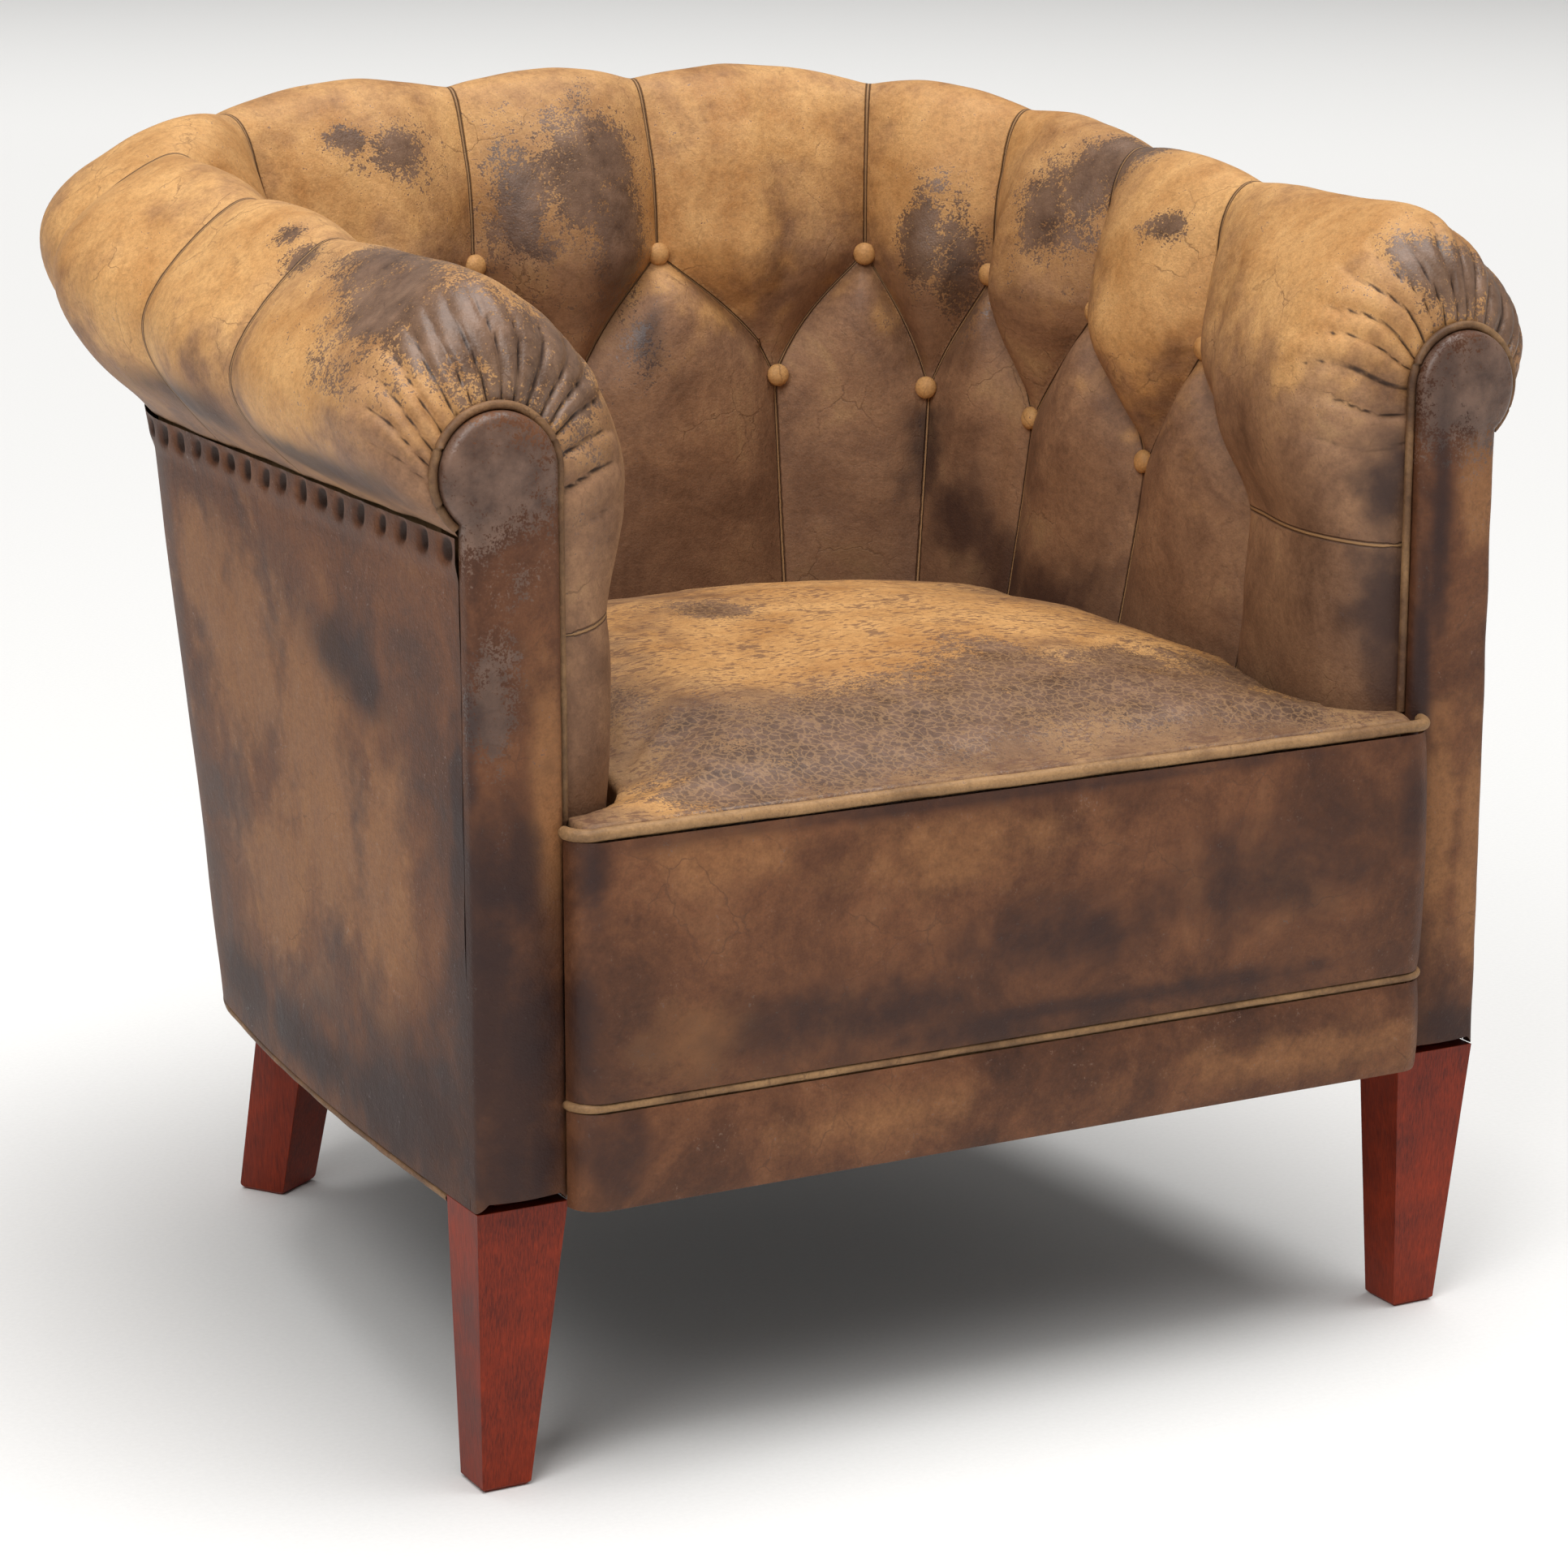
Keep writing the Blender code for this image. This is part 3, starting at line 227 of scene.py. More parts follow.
def plan(place, inset):
    """Points of the plan and their outward directions, for arrays of places and insets."""
    run = from_front(place)
    turn = np.clip((run - STRAIGHT_SIDE) / CORNER_RADIUS, 0.0, math.pi / 2)
    behind = np.maximum(run - STRAIGHT_SIDE - QUARTER_TURN, 0.0)
    side = np.where(place > PLAN_LENGTH / 2, -1.0, 1.0)
    out_x, out_y = -np.cos(turn), np.sin(turn)
    x = -HALF_WIDTH + CORNER_RADIUS * (1 + out_x) + behind
    y = FRONT + np.minimum(run, STRAIGHT_SIDE) + CORNER_RADIUS * out_y
    return side * (x - out_x * inset), y - out_y * inset, side * out_x, out_y


def on_wall(place, inset, height):
    """Points at an inset from the plan line, at a height above the floor."""
    x, y, _, _ = plan(place, inset)
    return np.stack(np.broadcast_arrays(x, y, height), axis=-1)


def taper_inset(place, height):
    """Inset of the body's outer face, which narrows towards its base at the rear."""
    share = np.minimum(from_front(place) / BASE_TAPER_RUN, 1.0) ** BASE_TAPER_POWER
    drop = (TACK_LINE - height) / (TACK_LINE - BODY_BASE)
    return BASE_TAPER * share * np.maximum(drop, 0.0)


def dome(place):
    """Fullness of the rounded front end: 0 at the scroll head, 1 behind the dome."""
    run = np.clip((from_front(place) - COVER_START) / END_DOME, 0.0, 1.0)
    return np.sqrt(1 - (1 - run) ** 2)


def stations(place):
    """Insets and heights of the seven stations in a pleat, one row for each place."""
    back = smoothstep((from_front(place) - RISE_START) / RISE_RUN)
    deepen = smoothstep((from_front(place) - END_DOME) / FRONT_BUTTON_RUN)
    upper = mix(POST_WIDTH + PIPING_RADIUS, BUTTON_INSET, deepen)
    lower = mix(upper, LOWER_BUTTON_INSET_BACK, back)
    full = np.where(place < PLAN_LENGTH / 2, LEFT_ARM_FULLNESS * (1 - back), 0.0)
    level = np.ones_like(back)
    insets = [0 * level, -mix(*ROLL_OVERHANG, back), CREST_INSET * level, SHOULDER_INSET * level,
              upper, lower + full * BUTTON_FULLNESS, SEAT_INSET + full]
    heights = [TACK_LINE * level, mix(*ROLL_WIDEST, back), mix(*ROLL_CREST, back),
               mix(*SHOULDER, back), mix(*UPPER_BUTTON, back), mix(*LOWER_BUTTON, back),
               COVER_BOTTOM * level]
    head = HEAD_RADIUS + PIPING_RADIUS
    middle = POST_WIDTH - HEAD_RADIUS
    end_insets = [0.0, middle - head, middle, middle + head * HEAD_SHOULDER[0], middle + head,
                  POST_WIDTH + PIPING_RADIUS, POST_WIDTH + PIPING_RADIUS]
    end_heights = [TACK_LINE, HEAD_CENTRE, HEAD_CENTRE + head,
                   HEAD_CENTRE + head * HEAD_SHOULDER[1], HEAD_CENTRE - HEAD_SIDE_DROP,
                   LOWER_BUTTON[0], COVER_BOTTOM]
    share = dome(place)[:, None]
    return (mix(np.array(end_insets), np.stack(insets, axis=1), share),
            mix(np.array(end_heights), np.stack(heights, axis=1), share))


def curve_weights(positions):
    """Catmull-Rom weights of the seven stations at each position, one row for each."""
    weights = np.zeros((len(positions), LAST + 1))
    for row, position in enumerate(positions):
        index = min(int(position), LAST - 1)
        t = position - index
        parts = (-t + 2 * t ** 2 - t ** 3, 2 - 5 * t ** 2 + 3 * t ** 3,
                 t + 4 * t ** 2 - 3 * t ** 3, t ** 3 - t ** 2)
        for step, part in zip((-1, 0, 1, 2), parts):
            weights[row, min(max(index + step, 0), LAST)] += part / 2
    return weights


def section(place, positions):
    """Insets, heights and outward normals of the section, a row for each place."""
    insets, heights = stations(place)
    weights = curve_weights(positions)
    step = 0.02
    ahead = curve_weights(np.minimum(positions + step, LAST))
    behind = curve_weights(np.maximum(positions - step, 0.0))
    run = np.stack([insets @ (ahead - behind).T, heights @ (ahead - behind).T], axis=-1)
    run /= np.linalg.norm(run, axis=-1, keepdims=True)
    return insets @ weights.T, heights @ weights.T, -run[..., 1], run[..., 0]


def pleat_places():
    """Places of the ten pleats that come over the roll."""
    edges = PLAN_LENGTH / 2 + CENTRE_PANEL / 2 + np.concatenate([[0.0], np.cumsum(PANELS)])
    return np.concatenate([(PLAN_LENGTH - edges)[::-1], edges])


PLEATS = pleat_places()
LOWERS = np.concatenate([[PLEATS[0] - FIRST_BUTTON_LEAD], (PLEATS[1:] + PLEATS[:-1]) / 2,
                         [PLEATS[-1] + FIRST_BUTTON_LEAD]])
KNOTS = np.sort(np.concatenate([PLEATS, LOWERS]))


def swell(depth, power=PUFF_POWER):
    """Height of a stuffed panel, from its edge at 0 to its middle at 1."""
    return np.sin(np.clip(depth, 0.0, 1.0) * math.pi / 2) ** power


def panel_share(place):
    """How far each place lies from its pleat, 0, towards the lower button beside it, 1."""
    right = np.clip(np.searchsorted(KNOTS, place - 1e-9), 1, len(KNOTS) - 1)
    share = (place - KNOTS[right - 1]) / (KNOTS[right] - KNOTS[right - 1])
    pleat_on_left = (right - 1) % 2 == 1
    return np.where(pleat_on_left, share, 1 - share)


def front_panel_swell(lead, position):
    """The front panel, at a distance ahead of its button, with a level pleat from there."""
    beside_button = swell(lead / FRONT_TUCK)
    leaving_pleat = swell(np.abs(position - LOWER) / LEVEL_PLEAT_WIDTH)
    level_pleat = mix(LEVEL_PLEAT_SWELL, 1.0, leaving_pleat)
    beside_button = np.where(position < LOWER, mix(beside_button, 1.0, leaving_pleat),
                             beside_button)
    inside = smoothstep(position - 2)
    return beside_button * level_pleat * mix(1.0, FRONT_PANEL_FULLNESS, inside)


def panel_swell(place, positions):
    """Share of the full swelling: 0 in a pleat, 1 in the middle of a panel."""
    from_pleat = panel_share(place)[:, None]
    position = positions[None, :]
    fade = np.clip(position - UPPER, 0.0, 1.0)
    over = swell((from_pleat - fade) / np.maximum(1 - fade, 1e-6)) * np.sqrt(1 - fade)
    under = swell((fade - from_pleat) / np.maximum(fade, 1e-6)) * np.sqrt(fade)
    value = np.where(from_pleat >= fade, over, under)
    value = np.where(position <= UPPER, swell(from_pleat), value)
    value = np.where(position >= LOWER, swell(1 - from_pleat), value)
    lead = from_front(LOWERS[:1])[0] - from_front(place)[:, None]
    return np.where(lead >= -1e-9, front_panel_swell(lead, position), value)


def lumps(points, size, seed=0.0):
    """Smooth noise from -1 to 1 at each point, with lumps of a size in metres."""
    flat = points.reshape(-1, 3) / size + seed
    values = [noise.noise(Vector(point)) for point in flat.tolist()]
    return np.array(values).reshape(points.shape[:-1])


def cover_surface(place, positions):
    """Points, outward normals and swelling of the buttoned cover on a grid of places."""
    insets, heights, normal_inset, normal_height = section(place, positions)
    column = place[:, None]
    run = from_front(column)
    bent = (run > STRAIGHT_SIDE) & (run < STRAIGHT_SIDE + QUARTER_TURN)
    crowding = np.where(bent, 1 - insets / CORNER_RADIUS, 1.0)
    full = panel_swell(place, positions)
    puff = (curve_weights(positions) @ np.array(STATION_PUFF))[None, :]
    on_arm = 1 - smoothstep((run - RISE_START) / RISE_RUN)
    on_roll = smoothstep((ROLL_END - positions) / ROLL_FADE)[None, :]
    on_wall_side = np.interp(positions, (2.6, 3.6, UPPER, LOWER, LAST), WALL_PLEAT_FILL)
    fill = np.maximum(ARM_PLEAT_FILL * on_arm * on_roll, on_wall_side[None, :])
    puff = puff * dome(column) * crowding * mix(full, 1.0, fill)
    points = on_wall(column, insets + normal_inset * puff, heights + normal_height * puff)
    _, _, out_x, out_y = plan(column, 0.0)
    normals = np.stack([-out_x * normal_inset, -out_y * normal_inset, normal_height], axis=-1)
    return points, normals, full


def mesh_object(name, points, faces, material, smooth=True, values=None):
    """A mesh piece, with its smoothing and named values on its points."""
    mesh = bpy.data.meshes.new(name)
    mesh.from_pydata([], [], [])
    points = np.asarray(points, float).reshape(-1, 3)
    faces = np.asarray(faces)
    width = faces.shape[1]
    mesh.vertices.add(len(points))
    mesh.vertices.foreach_set("co", points.astype(np.float32).ravel())
    mesh.loops.add(faces.size)
    mesh.loops.foreach_set("vertex_index", faces.astype(np.int32).ravel())
    mesh.polygons.add(len(faces))
    mesh.polygons.foreach_set("loop_start", np.arange(0, faces.size, width, dtype=np.int32))
    mesh.update(calc_edges=True)
    mesh.validate()
    for label, vectors in (values or {}).items():
        layer = mesh.attributes.new(label, "FLOAT_VECTOR", "POINT")
        layer.data.foreach_set("vector", np.asarray(vectors, np.float32).reshape(-1, 3).ravel())
    if smooth:
        mesh.shade_smooth()
    mesh.materials.append(material)
    made = bpy.data.objects.new(name, mesh)
    bpy.context.scene.collection.objects.link(made)
    return made


def grid_faces(columns, rows, closed=False, flip=False):
    """Quads of a grid whose points run row by row within each column."""
    across = np.arange(columns - 1)[:, None] * rows
    count = rows if closed else rows - 1
    along = np.arange(count)[None, :]
    ahead = (along + 1) % rows
    faces = np.stack([across + along, across + ahead, across + rows + ahead,
                      across + rows + along], axis=-1).reshape(-1, 4)
    return faces[:, ::-1] if flip else faces


def cut_grid(columns, rows, full=None, closed=False):
    """Triangles of a grid; where a swelling is given, each cell is cut along its lower diagonal."""
    quads = grid_faces(columns, rows, closed)
    a, b, c, d = quads.T
    if full is None:
        lower = np.ones(len(quads), bool)
    else:
        depth = full.ravel()
        lower = depth[a] + depth[c] <= depth[b] + depth[d] + 1e-6
    first = np.where(lower[:, None], np.stack([a, b, c], 1), np.stack([a, b, d], 1))
    second = np.where(lower[:, None], np.stack([a, c, d], 1), np.stack([b, c, d], 1))
    return np.concatenate([first, second])


def lining_places():
    """Places along the plan line of the lining's columns, closest together at the ends."""
    angle = np.linspace(0, math.pi / 2, DOME_CELLS, endpoint=False)
    start = COVER_START + END_DOME * (1 - np.cos(angle))
    lead = np.linspace(COVER_START + END_DOME, KNOTS[0], LEAD_CELLS, endpoint=False)
    halves = [np.linspace(a, b, HALF_PANEL_CELLS, endpoint=False)
              for a, b in zip(KNOTS[:-1], KNOTS[1:])]
    front = np.concatenate([start, lead])
    return np.concatenate([front, *halves, [KNOTS[-1]], PLAN_LENGTH - front[::-1]])


def lining_positions():
    return np.concatenate([station + np.arange(cells) / cells
                           for station, cells in enumerate(STATION_CELLS)] + [[float(LAST)]])


def button_axis(place, station):
    """Bottom of a button's hollow and the direction in which the button faces."""
    insets, heights, normal_inset, normal_height = section(np.array([place]),
                                                           np.array([float(station)]))
    base = on_wall(np.array([place]), insets[:, 0], heights[:, 0])[0]
    _, _, out_x, out_y = plan(np.array([place]), 0.0)
    axis = np.array([-out_x[0] * normal_inset[0, 0], -out_y[0] * normal_inset[0, 0],
                     normal_height[0, 0]])
    return base, axis / np.linalg.norm(axis)


BUTTON_PLACES = ([("upper_button_%02d" % (i + 1), place, UPPER) for i, place in enumerate(PLEATS)]
                 + [("lower_button_%02d" % (i + 1), place, LOWER)
                    for i, place in enumerate(LOWERS)])


def pleat_lines():
    """Points along every pleat: over the roll, the two slanting ones, and down to the seat."""
    lines = []
    for place in PLEATS:
        lines.append([(place, position) for position in np.linspace(0.2, UPPER, 120)])
    for place in LOWERS:
        lines.append([(place, position) for position in np.linspace(LOWER, LAST, 60)])
    for first, second in zip(KNOTS[:-1], KNOTS[1:]):
        first_is_lower = np.min(np.abs(LOWERS - first)) < 1e-9
        ends = (LOWER, UPPER) if first_is_lower else (UPPER, LOWER)
        lines.append(list(zip(np.linspace(first, second, 40), np.linspace(*ends, 40))))
    for start, end in ((COVER_START, LOWERS[0]), (LOWERS[-1], PLAN_LENGTH - COVER_START)):
        lines.append([(place, float(LOWER)) for place in np.linspace(start, end, 60)])
    return lines


def pleat_distance(points):
    """Distance of each point to the nearest pleat, as far as FAR_FROM_PLEAT."""
    samples = []
    for line in pleat_lines():
        for place, position in line:
            samples.append(cover_surface(np.array([place]), np.array([position]))[0][0, 0])
    tree = KDTree(len(samples))
    for index, sample in enumerate(samples):
        tree.insert(sample, index)
    tree.balance()
    flat = points.reshape(-1, 3)
    return np.array([min(tree.find(point)[2], FAR_FROM_PLEAT) for point in flat.tolist()])


# How ragged the edge of a patch is, and how fast its wear, stains and painted shade fall off from
# its middle
PATCH_WARP = 0.42
PATCH_FALL = 0.55

# Patches of wear, stains and painted shade, placed on each piece: x, y, z, and how far they reach
# across and up
LINING_GOLD = [(-.37, .14, .70, .09, .06), (-.29, .18, .73, .08, .05), (-.36, -.05, .69, .07, .05),
               (-.17, .23, .70, .05, .05), (.16, .235, .725, .06, .04), (.27, .175, .72, .06, .05),
               (.25, .17, .676, .05, .05), (.307, .153, .72, .06, .05), (.27, -.09, .65, .06, .06),
               (.26, -.085, .62, .05, .03), (.316, -.09, .70, .07, .05),
               (.273, -.245, .68, .07, .05), (.24, -.31, .65, .05, .03),
               (.30, -.276, .696, .06, .04),
               (-.40, .02, .66, .07, .05), (-.39, -.20, .64, .06, .05), (.10, .23, .66, .05, .05)]
LINING_PATINA = [(-.338, -.326, .68, .034, .03), (-.306, -.335, .66, .03, .04),
                 (-.352, -.275, .688, .045, .03), (-.27, -.326, .657, .022, .045),
                 (-.33, -.22, .698, .034, .02), (-.341, -.126, .692, .014, .010),
                 (-.337, -.091, .703, .010, .008), (.000, .218, .69, .024, .034),
                 (.022, .223, .705, .026, .03), (-.042, .226, .67, .018, .04),
                 (.030, .213, .660, .022, .05), (.04, .21, .62, .014, .04),
                 (-.127, .223, .715, .020, .016), (-.161, .238, .723, .014, .008),
                 (.292, .032, .690, .022, .03), (.272, .053, .672, .02, .03),
                 (.308, .017, .704, .026, .02), (.325, -.005, .712, .022, .014),
                 (.28, -.087, .673, .012, .008), (.329, -.338, .666, .03, .02),
                 (.308, -.333, .676, .02, .016), (.362, -.336, .644, .024, .03),
                 (.263, .155, .62, .016, .03), (.239, .171, .637, .014, .03)]
# Stains, with painted shade among them: a dark strip on the right arm beside the post, bands under
# the left roll, and darkening at the foot of the right wall by the seat
LINING_STAIN_AND_SHADE = [(.276, -.343, .54, .016, .03), (.276, -.343, .46, .018, .05),
                (.283, -.344, .423, .02, .03), (-.39, -.22, .59, .09, .012),
                (-.39, -.02, .60, .08, .012), (.256, .019, .400, .05, .03),
                (.273, .091, .415, .04, .03), (.256, .14, .444, .03, .03),
                (.257, .177, .484, .02, .03), (-.28, -.33, .503, .012, .006),
                (.24, .16, .56, .012, .03), (.05, .21, .60, .010, .03),
                (-.05, .21, .60, .012, .04)]
SEAT_GOLD = [(.02, -.18, .43, .09, .1), (-.08, -.17, .43, .06, .1), (.19, -.20, .42, .06, .1),
             (0, -.10, .43, .10, .1), (.198, -.277, .414, .04, .1), (.12, -.12, .43, .09, .1),
             (-.22, -.34, .405, .025, .1), (.10, .02, .43, .09, .1)]
SEAT_PATINA = [(-.173, -.332, .407, .040, .1), (-.111, -.316, .411, .046, .1),
               (-.071, -.300, .416, .046, .1), (-.206, -.345, .404, .016, .1),
               (-.03, -.290, .42, .046, .1), (.019, -.283, .419, .046, .1),
               (.062, -.278, .419, .046, .1), (.12, -.295, .412, .046, .1),
               (.17, -.300, .41, .04, .1), (.205, -.325, .408, .035, .1),
               (.073, -.235, .425, .030, .1), (.22, -.25, .41, .034, .1),
               (.15, -.245, .42, .028, .1), (-.20, -.19, .42, .030, .1),
               (-.16, -.27, .42, .030, .1), (-.03, -.03, .43, .024, .1)]
# Darker patches on the outside, several of them bands darker towards the bottom of the body
OUTSIDE_DARK_PATCHES = [(-.347, -.35, .28, .03, .10), (-.346, -.23, .205, .09, .035),
                 (-.341, -.093, .205, .09, .02), (-.33, .041, .21, .06, .025),
                 (-.347, -.30, .22, .06, .05), (-.346, -.17, .470, .04, .020),
                 (-.347, -.205, .455, .03, .016), (-.347, -.34, .40, .012, .06),
                 (.347, -.33, .25, .04, .07), (.345, -.12, .205, .09, .03),
                 (.33, .06, .22, .07, .03), (.10, .28, .20, .12, .03),
                 (-.12, .28, .21, .10, .03), (.20, .27, .42, .04, .04), (-.05, .30, .50, .06, .02),
                 (.347, -.20, .52, .05, .02)]
OUTSIDE_LIGHT = [(-.345, -.138, .365, .05, .06), (-.345, -.116, .41, .05, .05),
                 (-.346, -.23, .34, .03, .06), (-.343, -.007, .439, .06, .05),
                 (-.343, .058, .479, .04, .03), (-.345, -.05, .30, .05, .04),
                 (.345, -.10, .40, .07, .06), (.34, .05, .45, .06, .05),
                 (.05, .30, .42, .08, .06), (-.14, .29, .36, .06, .06)]
FACING_STAIN = [(-.345, -.357, .30, .034, .12), (-.325, -.357, .25, .03, .09),
                (-.352, -.357, .44, .010, .06), (-.318, -.357, .37, .012, .04),
                (-.31, -.357, .21, .014, .05), (.305, -.357, .53, .007, .07),
                (.295, -.357, .42, .006, .08), (.33, -.357, .19, .03, .02)]
FACING_PATINA = [(-.333, -.357, .600, .045, .032), (-.335, -.357, .47, .010, .03),
                 (.333, -.357, .600, .045, .032), (.31, -.357, .59, .012, .02)]
FACING_LIGHT = [(-.352, -.357, .640, .012, .008), (.335, -.357, .54, .014, .03),
                (.31, -.357, .33, .012, .05), (-.30, -.357, .42, .010, .05),
                (.34, -.357, .30, .012, .06)]
# Painted shade on the front border: a band under the seat's welt, a band near its bottom, narrow
# strips at its ends beside the posts, and soft shadows across it
BORDER_SHADE_PATCHES = [(-.12, -.381, .268, .09, .022), (.17, -.382, .318, .07, .030),
                (-.284, -.38, .37, .010, .03), (-.289, -.375, .294, .012, .04),
                (.274, -.382, .345, .010, .04), (-.272, -.38, .209, .022, .022),
                (-.05, -.38, .25, .07, .010), (.02, -.38, .30, .07, .02),
                (.05, -.38, .255, .20, .006), (.0, -.38, .39, .25, .005)]
BORDER_LIGHT = [(-.20, -.38, .375, .04, .014), (-.05, -.38, .36, .06, .02),
                (.20, -.38, .20, .08, .012), (-.10, -.38, .205, .05, .012),
                (-.22, -.38, .27, .03, .02)]


def wear_and_shade_values(points, light, patina, stain_and_shade):
    """How golden, how dark and glossy, and how much stains and painted shade darken the leather at
    each point.
    """
    flat = points.reshape(-1, 3)
    ragged = 1 + PATCH_WARP * (lumps(flat, 0.030, 5.0) + 0.7 * lumps(flat, 0.012, 6.0))
    columns = []
    for patches in (light, patina, stain_and_shade):
        share = np.zeros(len(flat))
        for x, y, z, across, up in patches:
            away = np.hypot(np.hypot(flat[:, 0] - x, flat[:, 1] - y) / across,
                            (flat[:, 2] - z) / up)
            share = np.maximum(share, np.exp(-PATCH_FALL * (away * ragged) ** 2))
        columns.append(share)
    return np.stack(columns, axis=-1)


def hexed(text):
    """An sRGB hex colour as linear values."""
    shares = [int(text[i:i + 2], 16) / 255 for i in (1, 3, 5)]
    return tuple(s / 12.92 if s <= 0.04045 else ((s + 0.055) / 1.055) ** 2.4
                 for s in shares) + (1.0,)


def add(tree, kind, inputs=None, **settings):
    """A shader node with its settings, and its inputs set to values or linked from sockets."""
    made = tree.nodes.new(kind)
    for key, value in settings.items():
        setattr(made, key, value)
    for key, value in (inputs or {}).items():
        if isinstance(value, bpy.types.NodeSocket):
            tree.links.new(value, made.inputs[key])
        else:
            made.inputs[key].default_value = value
    return made


def new_material(name):
    """A material with its node tree and its main shader."""
    made = bpy.data.materials.new(name)
    made.use_nodes = True
    tree = made.node_tree
    return made, tree, tree.nodes["Principled BSDF"]


def worn_leather(name, tones, gold, soak_and_shade_colour, crackle):
    """Aniline cowhide, waxed by hand and rubbed for decades.

    The wax has gone where bodies rub, which leaves golden, dry leather. Where hands and
    heads rested it is dark, greasy and glossy, and breaks up into flakes at the edge.
    """
    made, tree, shader = new_material(name)
    place = add(tree, "ShaderNodeTexCoord").outputs["Object"]
    worn = add(tree, "ShaderNodeAttribute", attribute_name="wear_and_shade").outputs["Vector"]
    golden, patina, stain_and_shade = add(tree, "ShaderNodeSeparateXYZ", {0: worn}).outputs
    folded = add(tree, "ShaderNodeAttribute", attribute_name="pleat").outputs["Vector"]
    distance, low, hollow = add(tree, "ShaderNodeSeparateXYZ", {0: folded}).outputs
    # Clouds of 85 mm, blotches of 24 mm, flakes of 4 mm and specks of 1.4 mm
    cloud, blotch, flake, speck = [
        add(tree, "ShaderNodeTexNoise", {"Vector": place, "Scale": 1 / size, "Detail": detail,
                                         "Roughness": rough, "Distortion": twist}).outputs[0]
        for size, detail, rough, twist in ((0.085, 10.0, 0.66, 0.5), (0.024, 8.0, 0.68, 0.0),
                                           (0.0042, 4.0, 0.6, 0.0), (0.0014, 2.0, 0.6, 0.0))]
    # The hide's pores are 0.3 mm apart, too fine to show, so the grain is drawn at 1.5 mm
    grain = add(tree, "ShaderNodeTexVoronoi", {"Vector": place, "Scale": 1 / 0.0015}).outputs[0]
    tone = add(tree, "ShaderNodeValToRGB", {0: cloud})
    stops = tone.color_ramp.elements
    stops[0].position, stops[0].color = 0.30, hexed(tones[0])
    stops[1].position, stops[1].color = 0.72, hexed(tones[3])
    for position, colour in ((0.45, tones[1]), (0.57, tones[2])):
        stops.new(position).color = hexed(colour)
    # The noises make each kind of wear ragged, and the stains and painted shade too: the wax is
    # left in islands, with specks at their edges, where it is being rubbed away
    sums = []
    for total, parts in ((golden, [(blotch, 0.8)]), (cloud, [(blotch, 0.5)]),
                         (flake, [(speck, 0.7)]),
                         (patina, [(blotch, 1.1), (flake, 1.5), (speck, 1.7)]),
                         (stain_and_shade, [(blotch, 0.9), (speck, 0.35 * 0.7), (flake, 0.35)])):
        for source, share in parts:
            total = add(tree, "ShaderNodeMath", {0: source, 1: share, 2: total},
                        operation="MULTIPLY_ADD").outputs[0]
        sums.append(total)
    rub, amber, fleck, left, soaked_and_shaded = sums
    bend = add(tree, "ShaderNodeTexNoise", {"Vector": place, "Scale": 1 / 0.010,
                                            "Detail": 4.0}).outputs[1]
    bent = add(tree, "ShaderNodeVectorMath", {0: bend, 1: (0.012,) * 3, 2: place},
               operation="MULTIPLY_ADD").outputs[0]
    # Hairline cracks of the dried finish, in cells of about 45 mm
    hair = add(tree, "ShaderNodeTexVoronoi", {"Vector": bent, "Scale": 1 / 0.045},
               feature="DISTANCE_TO_EDGE").outputs[0]
    # Where each kind of wear, the stains and the painted shade start, where they end, and their
    # strength at both
    rub, greasy, soaked_and_shaded, hair, hollow_shade_and_dirt, groove, ridge = [
        add(tree, "ShaderNodeMapRange", {0: source, 1: begin, 2: end, 3: at_begin, 4: at_end},
            interpolation_type="SMOOTHSTEP").outputs[0]
        for source, begin, end, at_begin, at_end in (
            (rub, 0.48, 1.20, 0.0, 1.0), (left, 2.50, 2.80, 0.0, 0.90),
            (soaked_and_shaded, 0.90, 1.75, 0.0, 0.86), (hair, 0.003, 0.016, 0.40, 0.0),
            (hollow, 0.42, 0.85, 0.0, 0.88), (distance, 0.0013, 0.0025, 0.85, 0.0),
            (distance, 0.0006, 0.0014, 0.85, 0.0))]
    amber, grease, dried = [
        add(tree, "ShaderNodeMapRange", {0: source, 1: begin, 2: end}).outputs[0]
        for source, begin, end in ((amber, 0.50, 0.98), (blotch, 0.34, 0.66),
                                   (cloud, 0.50, 0.60))]
    amber, grease = [
        add(tree, "ShaderNodeMix", {0: share, 6: hexed(first), 7: hexed(second)},
            data_type="RGBA").outputs[2]
        for share, first, second in ((amber, *gold), (grease, "#3E2C24", "#73594A"))]
    hair, foot = [
        add(tree, "ShaderNodeMath", {0: first, 1: second}, operation="MULTIPLY").outputs[0]
        for first, second in ((hair, dried), (low, cloud))]
    colour = add(tree, "ShaderNodeMix", {0: rub, 6: tone.outputs[0], 7: amber},
                 data_type="RGBA").outputs[2]
    mottle = add(tree, "ShaderNodeMapRange", {0: fleck, 1: 0.60, 2: 1.10, 3: 0.78, 4: 1.16})
    colour = add(tree, "ShaderNodeVectorMath", {0: colour, "Scale": mottle.outputs[0]},
                 operation="SCALE").outputs[0]
    layers = []
    if crackle:
